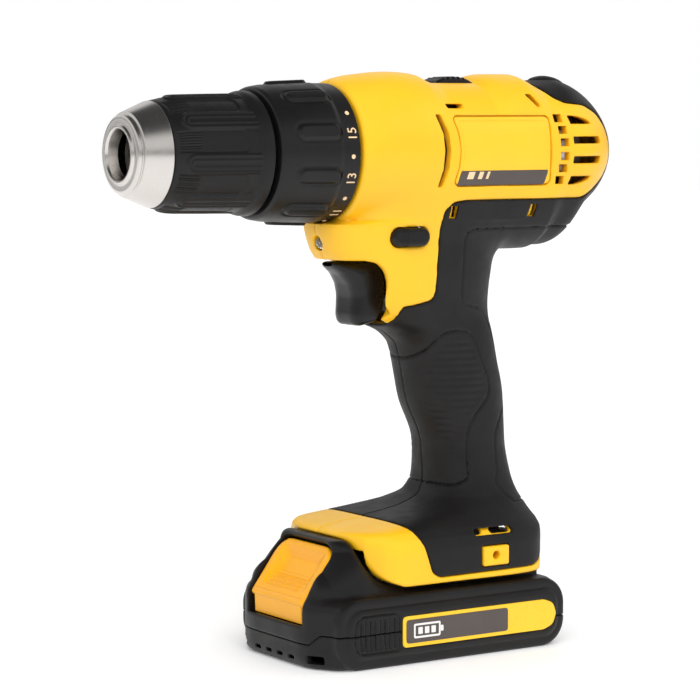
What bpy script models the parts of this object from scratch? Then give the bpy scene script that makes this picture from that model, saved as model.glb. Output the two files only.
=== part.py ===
"""A cordless drill driver: keyless chuck, two-stage planetary gearbox, motor and slide-on battery pack.

Every separate piece of the real tool is one named object. The tables give millimetres, and MM turns them
into the metres of the objects. The chuck points along -X, the tool's left side faces -Y, +Z is up, and the
origin is the middle of the flat base of the battery pack.
"""

import math

import bmesh
import bpy
from mathutils import Matrix, Vector

MM = 0.001
GAP = 0.3  # clearance between neighbouring pieces

# Driving dimensions
AXIS = 192.7  # height of the spindle's axis
SKIN = 1.2  # thickness of the soft grip skin and of the badges
WALL = 2.2  # wall of the housing under the skin
CAVITY = SKIN + GAP + WALL  # how far the hollow inside lies below the outer surface
SPLIT = 0.15  # half the gap between the two housing halves

# Housing barrel: x, half width, reach above the axis, reach below it, power of the rounded section
BARREL = (
    (-33.0, 27.2, 27.4, 27.4, 2.0),
    (-22.0, 28.4, 30.3, 28.8, 2.0),
    (3.0, 27.6, 30.3, 31.0, 2.2),
    (10.5, 27.0, 27.0, 33.0, 2.3),
    (30.5, 27.0, 27.0, 35.5, 2.3),
    (37.0, 27.0, 30.0, 37.0, 2.3),
    (49.0, 27.0, 30.1, 38.0, 2.3),
    (56.5, 27.0, 27.4, 38.2, 2.3),
    (73.0, 26.8, 28.0, 35.4, 2.2),
    (84.0, 23.4, 23.8, 26.5, 2.0),
    (92.0, 16.8, 17.8, 18.5, 2.0),
    (97.8, 4.0, 4.2, 4.4, 2.0),
)
DOME_START = 70.0
BARREL_POINTS = 20

# Chin, handle and foot: z, front x, rear x, half width, power of the rounded section
COLUMN = (
    (29.9, -38.2, 50.8, 35.8, 6.0),
    (44.5, -38.2, 50.8, 35.6, 5.5),
    (50.0, -37.4, 49.8, 32.2, 4.6),
    (53.5, -29.0, 49.2, 28.2, 3.8),
    (57.5, -5.0, 48.8, 23.4, 3.1),
    (62.5, 7.6, 48.4, 19.6, 2.7),
    (80.0, 9.2, 47.2, 17.0, 2.3),
    (97.0, 2.8, 46.8, 17.0, 2.3),
    (112.0, 0.0, 43.4, 17.0, 2.3),
    (121.0, -4.0, 41.4, 17.2, 2.3),
    (128.0, -21.5, 39.8, 17.4, 2.3),
    (152.5, -34.2, 40.0, 19.8, 2.6),
    (165.7, -38.0, 42.5, 20.8, 2.7),
    (166.1, -32.4, 44.0, 20.8, 2.7),
    (188.0, -32.0, 44.0, 20.0, 2.7),
)
COLUMN_POINTS = 20

# Side outlines, as (x, z)
TRIGGER_NOTCH = (
    (-60.0, 152.0),
    (-21.0, 152.0),
    (-16.6, 151.1),
    (-13.4, 148.3),
    (-11.9, 144.3),
    (-11.9, 137.8),
    (-12.8, 132.4),
    (-15.2, 129.0),
    (-19.0, 127.2),
    (-60.0, 126.2),
)
GRIP_OUTLINE = (
    (-28.0, 123.8),
    (-20.4, 123.4),
    (-16.4, 125.4),
    (-12.4, 131.4),
    (-10.2, 134.5),
    (-2.0, 134.9),
    (3.5, 136.2),
    (5.0, 139.4),
    (5.2, 163.0),
    (6.1, 170.5),
    (9.4, 173.6),
    (14.6, 174.4),
    (72.0, 174.3),
    (80.0, 177.0),
    (86.0, 181.6),
    (90.0, 186.7),
    (91.5, 192.7),
    (90.2, 196.6),
    (87.1, 202.6),
    (82.0, 207.4),
    (74.4, 210.6),
    (65.0, 211.4),
    (60.5, 213.4),
    (57.0, 217.5),
    (56.0, 240.0),
    (120.0, 240.0),
    (120.0, 43.0),
    (50.2, 43.0),
    (48.4, 37.6),
    (45.2, 33.8),
    (40.5, 32.4),
    (-4.9, 32.1),
    (-8.1, 34.1),
    (-10.0, 40.1),
    (-11.4, 44.1),
    (-15.1, 51.2),
    (-19.4, 54.2),
    (-27.5, 57.6),
    (-60.0, 60.5),
    (-60.0, 123.8),
)
BADGE_OUTLINE = (
    (9.5, 206.5),
    (52.5, 206.5),
    (53.8, 205.2),
    (53.8, 181.2),
    (52.5, 179.8),
    (9.5, 179.8),
    (8.2, 181.2),
    (10.0, 187.0),
    (10.6, 193.2),
    (10.0, 199.4),
    (8.2, 205.2),
)
HOOD_CUT = (
    (-70.0, 20.0),
    (-20.3, 20.0),
    (-20.3, 29.9),
    (-25.5, 31.6),
    (-29.4, 33.9),
    (-32.2, 37.8),
    (-33.9, 42.6),
    (-35.4, 46.4),
    (-36.8, 47.7),
    (-70.0, 47.8),
)
TRIGGER_OUTLINE = (
    (-33.0, 151.0),
    (-32.4, 149.4),
    (-28.4, 146.2),
    (-25.6, 142.4),
    (-24.5, 138.3),
    (-24.7, 134.0),
    (-25.0, 130.2),
    (-24.0, 127.8),
    (-21.8, 127.0),
    (-16.0, 129.2),
    (-13.6, 132.6),
    (-12.4, 138.0),
    (-12.4, 144.6),
    (-13.8, 151.0),
)

# Turned outlines, as (x, radius) round the spindle's axis
COLLAR_PROFILE = (
    (-67.4, 14.2),
    (-67.4, 24.0),
    (-66.6, 24.8),
    (-62.1, 25.7),
    (-57.8, 26.2),
    (-42.4, 26.9),
    (-40.8, 26.3),
    (-34.3, 26.2),
    (-34.3, 22.4),
    (-64.4, 22.0),
    (-64.4, 14.2),
)
COLLAR_RIBS = 10
RIB_HEIGHT = 0.7
SLEEVE_PROFILE = (
    (-108.6, 18.1),
    (-108.6, 19.5),
    (-107.9, 19.9),
    (-104.5, 20.9),
    (-101.2, 21.5),
    (-87.8, 21.8),
    (-73.0, 21.9),
    (-71.0, 22.9),
    (-69.3, 23.0),
    (-69.3, 14.1),
    (-71.7, 14.1),
    (-71.7, 19.5),
    (-98.6, 19.5),
    (-98.6, 18.1),
)
SLEEVE_PADS = 8
NOSE_PROFILE = (
    (-121.6, 9.2),
    (-122.2, 9.8),
    (-122.2, 12.6),
    (-121.6, 14.2),
    (-118.9, 16.0),
    (-109.0, 19.8),
    (-109.0, 17.8),
    (-100.4, 17.8),
    (-100.4, 15.9),
    (-112.0, 15.9),
    (-117.4, 12.9),
    (-118.4, 8.4),
)
CHUCK_PROFILE = (
    (-112.5, 6.8),
    (-112.5, 12.5),
    (-84.4, 13.0),
    (-83.0, 19.0),
    (-72.4, 19.0),
    (-72.4, 13.6),
    (-69.0, 13.6),
    (-69.0, 6.2),
    (-90.0, 6.2),
    (-90.0, 3.3),
    (-92.5, 3.3),
    (-92.5, 6.8),
)
GEAR_CASE_PROFILE = (
    (-66.0, 10.5),
    (-66.0, 13.5),
    (-32.5, 13.5),
    (-32.5, 22.7),
    (22.0, 22.7),
    (22.0, 20.5),
    (-18.5, 20.5),
    (-18.5, 10.5),
)

# Jaws
JAW_TIP_X = -104.0
JAW_TIP_RADIUS = 7.9
JAW_TILT = math.radians(15)
JAW_LENGTH = 26.0
JAW_RADIUS = 3.3
JAW_FACE = 6.6  # distance of the gripping face from the axis when the chuck is open
JAW_CLOSING = 5.7  # how far each jaw moves inwards
JAW_ANGLES = (90, 210, 330)

# Gears: both stages have the same teeth
MODULE = 0.95
SUN_TEETH = 12
PLANET_TEETH = 12
RING_TEETH = 36
PRESSURE = math.radians(20)
BACKLASH = 0.12
PLANET_ORBIT = MODULE * (SUN_TEETH + PLANET_TEETH) / 2
PLANET_ANGLES = (0, 120, 240)
PLANET_BORE = 2.0

# Housing screws: x, z and how far the surface is from the middle plane there
SCREWS = (
    (38.6, 47.6, 27.2),
    (62.0, 164.5, 15.0),
    (24.0, 160.0, 18.4),
    (28.0, 116.0, 15.6),
    (31.0, 69.0, 17.6),
)
SCREW_SEAT = 2.4  # how far the seat of a screw's head lies below the surface
SCREW_TIP = -9.5  # y of the thread's end, in the left half

# Work light
LIGHT_X = -36.8
LIGHT_Z = 158.5

# Bosses for the belt hook, one on each side of the foot
BOSS_X = (15.0, 27.0)
BOSS_Z = (34.5, 42.0)
BOSS_Y = (31.9, 36.8)
BOSS_SCREW = (21.0, 38.4)

# Trigger and direction button
TRIGGER_Z = 141.0
TRIGGER_HALF_WIDTH = 9.7
BUTTON_X = -8.5
BUTTON_Z = 160.7
BUTTON_HALF_LENGTH = 22.9

# Battery pack

CELL_RADIUS = 9.0
CELL_LENGTH = 65.0
CELL_PITCH = 18.4
CELL_ROW_X = 4.0  # middle of the row of cells
CELL_HEIGHT = 13.2
PACK_REAR = 54.6
PACK_SEAM = 9.7
PACK_WALL = 2.4
CONTACT_ROWS = (-12.0, 0.0, 12.0)
RELEASE_HALF_WIDTH = 18.2
RELEASE_ROOM = 18.8  # half width of the pocket round it

YELLOW = ("yellow_shell", (0.93, 0.60, 0.02), 0.42, 0.0)
BLACK = ("black_shell", (0.02, 0.02, 0.021), 0.45, 0.0)
RUBBER = ("grip_rubber", (0.025, 0.024, 0.025), 0.7, 0.0)
STEEL = ("satin_steel", (0.62, 0.60, 0.57), 0.3, 1.0)
DARK_STEEL = ("dark_steel", (0.25, 0.25, 0.26), 0.4, 1.0)
COPPER = ("copper", (0.72, 0.38, 0.22), 0.35, 1.0)
LENS = ("clear_lens", (0.9, 0.9, 0.85), 0.1, 0.0)
BOARD = ("circuit_board", (0.03, 0.2, 0.06), 0.5, 0.0)
GREY = ("grey_plastic", (0.28, 0.28, 0.29), 0.5, 0.0)
CELL_WRAP = ("cell_wrap", (0.05, 0.22, 0.45), 0.4, 0.0)


# ---- Mesh helpers. They take millimetres. ----


def clear_scene():
    for item in list(bpy.data.objects):
        bpy.data.objects.remove(item)


def solid(shape):
    """Turns a bmesh in millimetres into an object in metres, faces out."""
    bmesh.ops.recalc_face_normals(shape, faces=shape.faces)
    bmesh.ops.scale(shape, vec=(MM, MM, MM), verts=shape.verts)
    mesh = bpy.data.meshes.new("draft")
    shape.to_mesh(mesh)
    shape.free()
    item = bpy.data.objects.new("draft", mesh)
    bpy.context.scene.collection.objects.link(item)
    return item


def bridge(shape, ring_a, ring_b):
    count = len(ring_a)
    for k in range(count):
        after = (k + 1) % count
        shape.faces.new((ring_a[k], ring_a[after], ring_b[after], ring_b[k]))


def loft(rings):
    """A solid through rings that have the same number of points, closed by a face at each end."""
    shape = bmesh.new()
    made = [[shape.verts.new(point) for point in ring] for ring in rings]
    for before, after in zip(made, made[1:]):
        bridge(shape, before, after)
    # The exact Boolean solver wants flat faces, and a side between two ovals is a twisted quad.
    bmesh.ops.triangulate(shape, faces=shape.faces)
    shape.faces.new(made[0])
    shape.faces.new(made[-1])
    return solid(shape)


def prism(outline, low, high):
    """An outline in (x, z), extruded along Y."""
    return loft([[(x, y, z) for x, z in outline] for y in (low, high)])


def slab(outline, low, high):
    """An outline in (x, y), extruded along Z."""
    return loft([[(x, y, z) for x, y in outline] for z in (low, high)])


def block(x_range, y_range, z_range):
    (x0, x1), (y0, y1), (z0, z1) = x_range, y_range, z_range
    return slab([(x0, y0), (x1, y0), (x1, y1), (x0, y1)], z0, z1)


def turned(profile, segments=28, ripple=None, middle=AXIS):
    """A closed (x, radius) outline spun round the X direction. ripple adds to the radius at an angle."""
    shape = bmesh.new()
    rings = []
    for x, radius in profile:
        ring = []
        for k in range(segments):
            angle = 2 * math.pi * k / segments
            reach = radius + (ripple(x, radius, angle) if ripple else 0.0)
            ring.append(shape.verts.new((x, reach * math.cos(angle), middle + reach * math.sin(angle))))
        rings.append(ring)
    for k, ring in enumerate(rings):
        bridge(shape, ring, rings[(k + 1) % len(rings)])
    return solid(shape)


def rod(start, end, radius, segments=12):
    start, end = Vector(start), Vector(end)
    turn = (end - start).to_track_quat("Z", "Y")
    rings = []
    for centre in (start, end):
        ring = []
        for k in range(segments):
            angle = 2 * math.pi * (k + 0.5) / segments
            ring.append(centre + turn @ Vector((radius * math.cos(angle), radius * math.sin(angle), 0)))
        rings.append(ring)
    return loft(rings)


def stepped_pin(x, z, stations, segments=8):
    """A round piece along Y through (y, radius) stations, such as a screw and its hole."""
    rings = []
    for y, radius in stations:
        ring = []
        for k in range(segments):
            angle = 2 * math.pi * (k + 0.5) / segments
            ring.append((x + radius * math.cos(angle), y, z + radius * math.sin(angle)))
        rings.append(ring)
    return loft(rings)


def axle(x_low, x_high, radius, y=0.0, z=AXIS, segments=16):
    """A rod along X."""
    return rod((x_low, y, z), (x_high, y, z), radius, segments)


def stadium(x, z, length, width, steps=4):
    """Outline with round ends, long along x."""
    radius = width / 2
    points = []
    for side in (1, -1):
        for k in range(steps + 1):
            angle = -math.pi / 2 + math.pi * k / steps
            points.append(
                (
                    x + side * (length / 2 - radius + radius * math.cos(angle)),
                    z + side * radius * math.sin(angle),
                )
            )
    return points


def grown(outline, distance):
    """The outline moved outwards by distance, with mitred corners."""
    count = len(outline)
    area = sum(
        outline[k][0] * outline[(k + 1) % count][1] - outline[(k + 1) % count][0] * outline[k][1]
        for k in range(count)
    )
    turn = 1 if area > 0 else -1
    moved = []
    for k in range(count):
        here = Vector(outline[k])
        before = (here - Vector(outline[k - 1])).normalized()
        after = (Vector(outline[(k + 1) % count]) - here).normalized()
        normal = Vector((before.y + after.y, -before.x - after.x)) * turn
        normal.normalize()
        share = max(normal.dot(Vector((after.y, -after.x)) * turn), 0.4)
        moved.append(tuple(here + normal * distance / share))
    return moved


def coil(centre, along, radius, wire, length, turns, sides=4, steps=8):
    """A spring as one swept tube with flat ends."""
    turn = Vector(along).to_track_quat("Z", "Y")
    count = int(turns * steps)
    rings = []
    for k in range(count + 1):
        angle = 2 * math.pi * k / steps
        middle = Vector((radius * math.cos(angle), radius * math.sin(angle), length * k / count))
        outward = Vector((math.cos(angle), math.sin(angle), 0))
        ring = []
        for j in range(sides):
            slope = 2 * math.pi * j / sides
            offset = outward * wire * math.cos(slope) + Vector((0, 0, wire * math.sin(slope)))
            ring.append(Vector(centre) + turn @ (middle + offset))
        rings.append(ring)
    return loft(rings)


def combine(target, tools, operation):
    """Applies exact Booleans to target one by one and removes the tools."""
    for tool in tools:
        step = target.modifiers.new("step", "BOOLEAN")
        step.operation = operation
        step.solver = "EXACT"
        step.object = tool
        graph = bpy.context.evaluated_depsgraph_get()
        shape = bpy.data.meshes.new_from_object(target.evaluated_get(graph))
        target.modifiers.clear()
        target.data = shape
        bpy.data.objects.remove(tool)
    return target


def join(target, *tools):
    return combine(target, tools, "UNION")


def cut(target, *tools):
    return combine(target, tools, "DIFFERENCE")


def keep(target, tool):
    return combine(target, [tool], "INTERSECT")


def copy_of(item):
    twin = bpy.data.objects.new("draft", item.data.copy())
    bpy.context.scene.collection.objects.link(twin)
    return twin


def spun(item, degrees):
    """Turns an object's points round the spindle's axis."""
    middle = Vector((0, 0, AXIS * MM))
    turn = (
        Matrix.Translation(middle) @ Matrix.Rotation(math.radians(degrees), 4, "X") @ Matrix.Translation(-middle)
    )
    item.data.transform(turn)
    return item


def material(look):
    name, colour, roughness, metallic = look
    found = bpy.data.materials.get(name)
    if found:
        return found
    made = bpy.data.materials.new(name)
    made.use_nodes = True
    shader = made.node_tree.nodes["Principled BSDF"]
    shader.inputs["Base Color"].default_value = (*colour, 1)
    shader.inputs["Roughness"].default_value = roughness
    shader.inputs["Metallic"].default_value = metallic
    made.diffuse_color = (*colour, 1)
    return made


def finish(item, name, look, origin=(0, 0, 0), rides=None):
    """Names a piece, gives it its material and puts its origin where it turns or slides."""
    item.name = name
    item.data.name = name
    place = Vector(origin) * MM
    item.data.transform(Matrix.Translation(-place))
    item.data.materials.clear()
    item.data.materials.append(material(look))
    item.data.shade_smooth()
    item.data.set_sharp_from_angle(angle=math.radians(32))
    parent = bpy.data.objects.get(rides) if rides else None
    item.location = place
    if parent:
        item.parent = parent
        item.matrix_parent_inverse = Matrix.Translation(-parent.matrix_world.translation)
    bpy.context.view_layer.update()
    return item


# ---- Housing ----


def oval(half_width, up, down, power, count):
    """Points (u, v) of a rounded section with its own reach above and below."""
    points = []
    for k in range(count):
        angle = 2 * math.pi * (k + 0.5) / count
        c, s = math.cos(angle), math.sin(angle)
        reach = up if s > 0 else down
        u = math.copysign(half_width * abs(c) ** (2 / power), c)
        v = math.copysign(reach * abs(s) ** (2 / power), s)
        points.append((u, v))
    return points


def barrel(inset):
    rings = []
    for x, half_width, up, down, power in BARREL:
        drawn_in = inset * max(0.0, x - DOME_START) / (BARREL[-1][0] - DOME_START)
        size = [max(reach - inset, 1.0) for reach in (half_width, up, down)]
        section = oval(*size, power, BARREL_POINTS)
        rings.append([(x - drawn_in, u, AXIS + v) for u, v in section])
    if inset:
        rings.insert(0, [(x - 12.0, y, z) for x, y, z in rings[0]])
    return loft(rings)


def column(inset):
    rings = []
    for z, front, rear, half_width, power in COLUMN:
        middle = (front + rear) / 2
        depth = (rear - front) / 2 - inset
        section = oval(half_width - inset, depth, depth, power, COLUMN_POINTS)
        rings.append([(middle + v, u, z) for u, v in section])
    if inset:
        rings.insert(0, [(x, y, z - 12.0) for x, y, z in rings[0]])
    return loft(rings)


def envelope(inset):
    """The outer body moved inwards, with the trigger's notch left open. An inset one runs on past its openings."""
    body = join(barrel(inset), column(inset))
    return cut(body, prism(grown(TRIGGER_NOTCH, inset), -60, 60), prism(grown(HOOD_CUT, inset * 0.6), -60, 60))


def half_space(side):
    low, high = sorted((side * SPLIT, side * 60.0))
    return block((-80, 130), (low, high), (0, 250))


def side_prism(outline, side, inner=0.0):
    low, high = sorted((side * max(inner, SPLIT), side * 60.0))
    return prism(outline, low, high)


def vents(side):
    """Cooling slots: four at the rear and a curved one at the front."""
    outlines = [
        stadium(67.5, 204.6, 10.0, 2.4, steps=2),
        stadium(71.0, 196.7, 14.0, 2.4, steps=2),
        stadium(71.0, 189.0, 14.0, 2.4, steps=2),
        stadium(67.0, 181.0, 9.0, 2.4, steps=2),
        [(-2.6, 206.5), (0.2, 206.5), (3.6, 193.4), (0.8, 179.8), (-2.0, 179.8), (0.8, 193.4)],
    ]
    return [side_prism(outline, side, inner=14.0) for outline in outlines]


def screw_bosses(side):
    """Posts inside the housing that the screws pass through."""
    return [stepped_pin(x, z, ((side * SPLIT, 4.0), (side * (reach - 2.9), 4.0))) for x, z, reach in SCREWS]


def screw_holes(side):
    tools = []
    for x, z, reach in SCREWS:
        if side > 0:
            seat = reach - SCREW_SEAT
            tools.append(stepped_pin(x, z, ((-1, 1.8), (seat, 1.8), (seat, 3.5), (40, 3.5))))
        else:
            tools.append(stepped_pin(x, z, ((-11, 1.8), (1, 1.8))))
    return tools


def housing_openings():
    return [
        block((-40.0, -8.0), (-10.2, 10.2), (126.6, 151.6)),
        prism(stadium(BUTTON_X, BUTTON_Z, 17.3, 8.0), -40, 40),
        axle(LIGHT_X - 9, LIGHT_X + 9, 2.9, z=LIGHT_Z, segments=12),
        block((9.0, 31.5), (-9.4, 9.4), (212.0, 232.0)),
        block((-70.0, 62.0), (-26.0, 26.0), (10.0, 43.4)),
    ]


def boss_pocket(side):
    """The pocket in the foot's side that a hook boss sits in."""
    (x0, x1), (z0, z1) = BOSS_X, BOSS_Z
    return side_prism(grown(((x0, z0), (x1, z0), (x1, z1), (x0, z1)), GAP), side, inner=BOSS_Y[0] - GAP)


def hook_boss(side):
    low, high = sorted((side * BOSS_Y[0], side * BOSS_Y[1]))
    x, z = BOSS_SCREW
    return cut(block(BOSS_X, (low, high), BOSS_Z), rod((x, side * 30, z), (x, side * 40, z), 1.7, 12))


def housing_half(side, outer, recess_floor, hollow):
    shell = keep(copy_of(outer), half_space(side))
    recesses = side_prism(grown(GRIP_OUTLINE, GAP), side)
    recesses = join(recesses, side_prism(grown(BADGE_OUTLINE, GAP), side, inner=12.0))
    shell = cut(shell, cut(recesses, copy_of(recess_floor)), copy_of(hollow))
    shell = join(shell, *screw_bosses(side))
    return cut(shell, *housing_openings(), *vents(side), *screw_holes(side), boss_pocket(side))


def skin_piece(outline, side, outer, skin_floor, inner=0.0):
    piece = keep(copy_of(outer), side_prism(outline, side, inner))
    return cut(piece, copy_of(skin_floor))


def grip(side, outer, skin_floor):
    skin = skin_piece(GRIP_OUTLINE, side, outer, skin_floor)
    slots = [side_prism(stadium(x, 47.4, length, 2.6), side, inner=20.0) for x, length in ((15.0, 6), (25.0, 10))]
    holes = screw_holes(side) if side > 0 else []
    return cut(skin, *housing_openings(), boss_pocket(side), *slots, *holes)


def build_housing():
    outer = envelope(0.0)
    skin_floor = envelope(SKIN)
    recess_floor = envelope(SKIN + GAP)
    hollow = envelope(CAVITY)
    for side, word in ((-1, "left"), (1, "right")):
        finish(housing_half(side, outer, recess_floor, hollow), f"housing_{word}", YELLOW)
        finish(grip(side, outer, skin_floor), f"grip_{word}", RUBBER)
        finish(skin_piece(BADGE_OUTLINE, side, outer, skin_floor, inner=12.0), f"badge_{word}", GREY)
        finish(hook_boss(side), f"hook_boss_{word}", YELLOW)
    for item in (outer, skin_floor, recess_floor, hollow):
        bpy.data.objects.remove(item)


def build_screws():
    for number, (x, z, reach) in enumerate(SCREWS, 1):
        seat = reach - SCREW_SEAT + GAP
        screw = stepped_pin(x, z, ((SCREW_TIP, 1.4), (seat, 1.4), (seat, 3.1), (seat + 1.6, 2.6)))
        finish(screw, f"housing_screw_{number}", DARK_STEEL)


def build_work_light():
    front, back = LIGHT_X, LIGHT_X + 4.9
    lens = turned(
        ((front, 0.5), (front, 1.8), (front + 0.7, 2.5), (back, 2.5), (back, 0.5)), segments=16, middle=LIGHT_Z
    )
    finish(lens, "work_light_lens", LENS)
    board = block((back + 0.6, back + 2.0), (-4.5, 4.5), (LIGHT_Z - 1.5, LIGHT_Z + 5.5))
    finish(board, "work_light_board", BOARD)


# ---- Gearbox and motor ----


def involute(angle):
    return math.tan(angle) - angle


def tooth_half_angle(radius, teeth):
    """Half the angle that a tooth takes up at a radius, for an involute tooth."""
    base = MODULE * teeth / 2 * math.cos(PRESSURE)
    here = math.acos(min(1.0, base / max(radius, base)))
    return math.pi / (2 * teeth) + involute(PRESSURE) - involute(here)


def gear_outline(teeth, phase, reaches, slack):
    """Points (y, z) of a gear's edge. reaches are the radii of a tooth's root and tip."""
    points = []
    for k in range(teeth):
        centre = phase + 2 * math.pi * k / teeth
        flank = [(radius, tooth_half_angle(radius, teeth) + slack / radius) for radius in reaches]
        for radius, half in flank:
            points.append((radius * math.cos(centre - half), radius * math.sin(centre - half)))
        for radius, half in reversed(flank):
            points.append((radius * math.cos(centre + half), radius * math.sin(centre + half)))
    return points


def gear(teeth, phase, x_range, orbit=(0.0, 0.0)):
    """An external gear along X, with its centre off the spindle's axis by orbit."""
    pitch = MODULE * teeth / 2
    edge = gear_outline(teeth, phase, (pitch - 1.2 * MODULE, pitch + 0.85 * MODULE), -BACKLASH)
    return loft([[(x, orbit[0] + y, AXIS + orbit[1] + z) for y, z in edge] for x in x_range])


def ring_gear(phase, x_range):
    pitch = MODULE * RING_TEETH / 2
    space = gear_outline(RING_TEETH, phase, (pitch - 0.85 * MODULE, pitch + 1.15 * MODULE), BACKLASH)
    low, high = x_range
    rim = turned(((low, 14.0), (low, 20.2), (high, 20.2), (high, 14.0)), segments=36)
    return cut(rim, loft([[(x, y, AXIS + z) for y, z in space] for x in (low - 1, high + 1)]))


def planet_place(degrees):
    angle = math.radians(degrees)
    return PLANET_ORBIT * math.cos(angle), PLANET_ORBIT * math.sin(angle)


def planet_phase(degrees, sun_phase):
    """Turns a planet so that one of its gaps takes the sun's tooth."""
    angle = math.radians(degrees)
    sun_share = (angle - sun_phase) * SUN_TEETH / (2 * math.pi)
    return angle + math.pi - (2 * math.pi / PLANET_TEETH) * (0.5 - sun_share)


def ring_phase(degrees, turned_by):
    """Turns a ring gear so that one of its gaps takes the planet's tooth."""
    angle = math.radians(degrees)
    share = (angle - turned_by) * PLANET_TEETH / (2 * math.pi)
    return angle - (2 * math.pi / RING_TEETH) * share


def build_stage(number, planet_x, ring_x, sun_phase, rides):
    for degrees, letter in zip(PLANET_ANGLES, "abc"):
        y, z = planet_place(degrees)
        planet = gear(PLANET_TEETH, planet_phase(degrees, sun_phase), planet_x, (y, z))
        hole = axle(planet_x[0] - 1, planet_x[1] + 1, PLANET_BORE, y, AXIS + z, 10)
        origin = (planet_x[0], y, AXIS + z)
        finish(cut(planet, hole), f"planet_{number}_{letter}", DARK_STEEL, origin, rides)
    phase = ring_phase(PLANET_ANGLES[0], planet_phase(PLANET_ANGLES[0], sun_phase))
    finish(ring_gear(phase, ring_x), f"ring_gear_{number}", DARK_STEEL)


def carrier(plate_x, pin_end):
    """A round plate with three pins for the planets."""
    plate = axle(*plate_x, 15.6, segments=24)
    for degrees in PLANET_ANGLES:
        y, z = planet_place(degrees)
        plate = join(plate, axle(plate_x[1] - 0.6, pin_end, PLANET_BORE - GAP, y, AXIS + z, 10))
    return plate


def build_gearbox():
    case = turned(GEAR_CASE_PROFILE, segments=32)
    finish(cut(case, block((5.0, 30.0), (-6.5, 6.5), (AXIS + 15, AXIS + 30))), "gear_case", GREY)
    for word, low, high in (("front", -64.0, -57.0), ("rear", -28.0, -20.0)):
        ring = turned(((low, 6.3), (low, 10.2), (high, 10.2), (high, 6.3)), segments=24)
        finish(ring, f"spindle_bearing_{word}", STEEL)
    finish(coil((-60.0, 0, AXIS), (1, 0, 0), 16.4, 1.2, 24.0, 4.5), "clutch_spring", STEEL)

    shaft = join(axle(-89.8, -13.5, 5.9), carrier((-14.0, -10.4), -2.2))
    shaft = cut(shaft, axle(-91.0, -77.0, 2.6, segments=12))
    finish(shaft, "spindle", STEEL, (0, 0, AXIS))
    frame = join(carrier((1.6, 5.0), 13.0), gear(SUN_TEETH, 0.0, (-9.6, 2.2)))
    finish(frame, "carrier_1", DARK_STEEL, (0, 0, AXIS))
    build_stage(2, (-9.9, -2.6), (-10.2, -2.0), 0.0, "spindle")
    build_stage(1, (5.5, 12.6), (5.3, 13.2), 0.0, "carrier_1")


def arc_magnet(x_range, inner, outer, middle_degrees, span_degrees, steps=10):
    outline = []
    for radius, order in ((inner, 1), (outer, -1)):
        for k in range(steps + 1)[::order]:
            angle = math.radians(middle_degrees + span_degrees * (k / steps - 0.5))
            outline.append((radius * math.cos(angle), radius * math.sin(angle)))
    return loft([[(x, y, AXIS + z) for y, z in outline] for x in x_range])


def build_motor():
    can = turned(((25.0, 5.2), (25.0, 18.2), (70.0, 18.2), (70.0, 17.2), (26.6, 17.2), (26.6, 5.2)))
    finish(can, "motor_can", STEEL)
    cap = turned(((70.3, 9.0), (70.3, 18.2), (76.0, 16.8), (77.0, 4.0), (75.0, 4.0), (74.0, 9.0)))
    finish(cap, "motor_end_cap", BLACK)
    for word, degrees in (("upper", 90), ("lower", 270)):
        finish(arc_magnet((30.0, 62.0), 13.3, 16.8, degrees, 130), f"motor_magnet_{word}", DARK_STEEL)
    origin = (0, 0, AXIS)
    shaft = join(axle(6.2, 88.0, 2.4), axle(32.0, 60.0, 12.9, segments=20), axle(62.0, 69.0, 7.0))
    finish(shaft, "armature", COPPER, origin)
    pinion = cut(gear(SUN_TEETH, 0.0, (6.2, 20.0)), axle(5.0, 21.0, 2.7, segments=16))
    finish(pinion, "motor_pinion", STEEL, origin, "armature")
    finish(fan(), "cooling_fan", BLACK, origin, "armature")


def fan(blades=8):
    hub = turned(((79.0, 2.7), (79.0, 5.5), (85.2, 5.5), (85.2, 2.7)), segments=24)
    for k in range(blades):
        blade = block((79.4, 84.8), (4.8, 14.6), (AXIS - 0.6, AXIS + 0.6))
        hub = join(hub, spun(blade, 360 * k / blades))
    return hub


# ---- Chuck ----


def jaw_point(distance):
    """A point on the upper jaw's axis, measured from its tip towards the rear."""
    x = JAW_TIP_X + distance * math.cos(JAW_TILT)
    return x, 0.0, AXIS + JAW_TIP_RADIUS + distance * math.sin(JAW_TILT)


def jaw_wedge():
    """The sector that keeps three jaws apart when they close on the axis."""
    slope = math.tan(math.radians(60))
    start = (JAW_FACE - JAW_CLOSING) * slope - GAP
    reach = 14.0
    outline = [
        (-start, JAW_FACE),
        (start, JAW_FACE),
        (start + reach * slope, JAW_FACE + reach),
        (-start - reach * slope, JAW_FACE + reach),
    ]
    return loft([[(x, y, AXIS + z) for y, z in outline] for x in (-112.0, -66.0)])


def build_chuck():
    origin = (0, 0, AXIS)
    body = turned(CHUCK_PROFILE, segments=24)
    for degrees in JAW_ANGLES:
        bore = rod(jaw_point(-14.0), jaw_point(JAW_LENGTH + 1.4), JAW_RADIUS + GAP, 12)
        body = cut(body, spun(bore, degrees - 90))
    finish(body, "chuck_body", STEEL, origin, "spindle")
    finish(turned(NOSE_PROFILE, segments=28), "chuck_nose", STEEL, origin, "spindle")
    screw = join(axle(-95.6, -92.8, 4.4), axle(-93.5, -79.0, 2.2, segments=12))
    finish(screw, "chuck_screw", DARK_STEEL, origin, "spindle")
    for number, degrees in enumerate(JAW_ANGLES, 1):
        jaw = keep(rod(jaw_point(0.0), jaw_point(JAW_LENGTH), JAW_RADIUS, 12), jaw_wedge())
        finish(spun(jaw, degrees - 90), f"jaw_{number}", DARK_STEEL, origin, "spindle")
    finish(turned(SLEEVE_PROFILE, 32, sleeve_ripple), "chuck_sleeve", BLACK, origin, "spindle")
    nut = turned(((-92.4, 17.2), (-92.4, 19.1), (-84.4, 19.1), (-84.4, 17.2)), segments=24)
    finish(nut, "jaw_nut", STEEL, origin, "chuck_sleeve")


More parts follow.
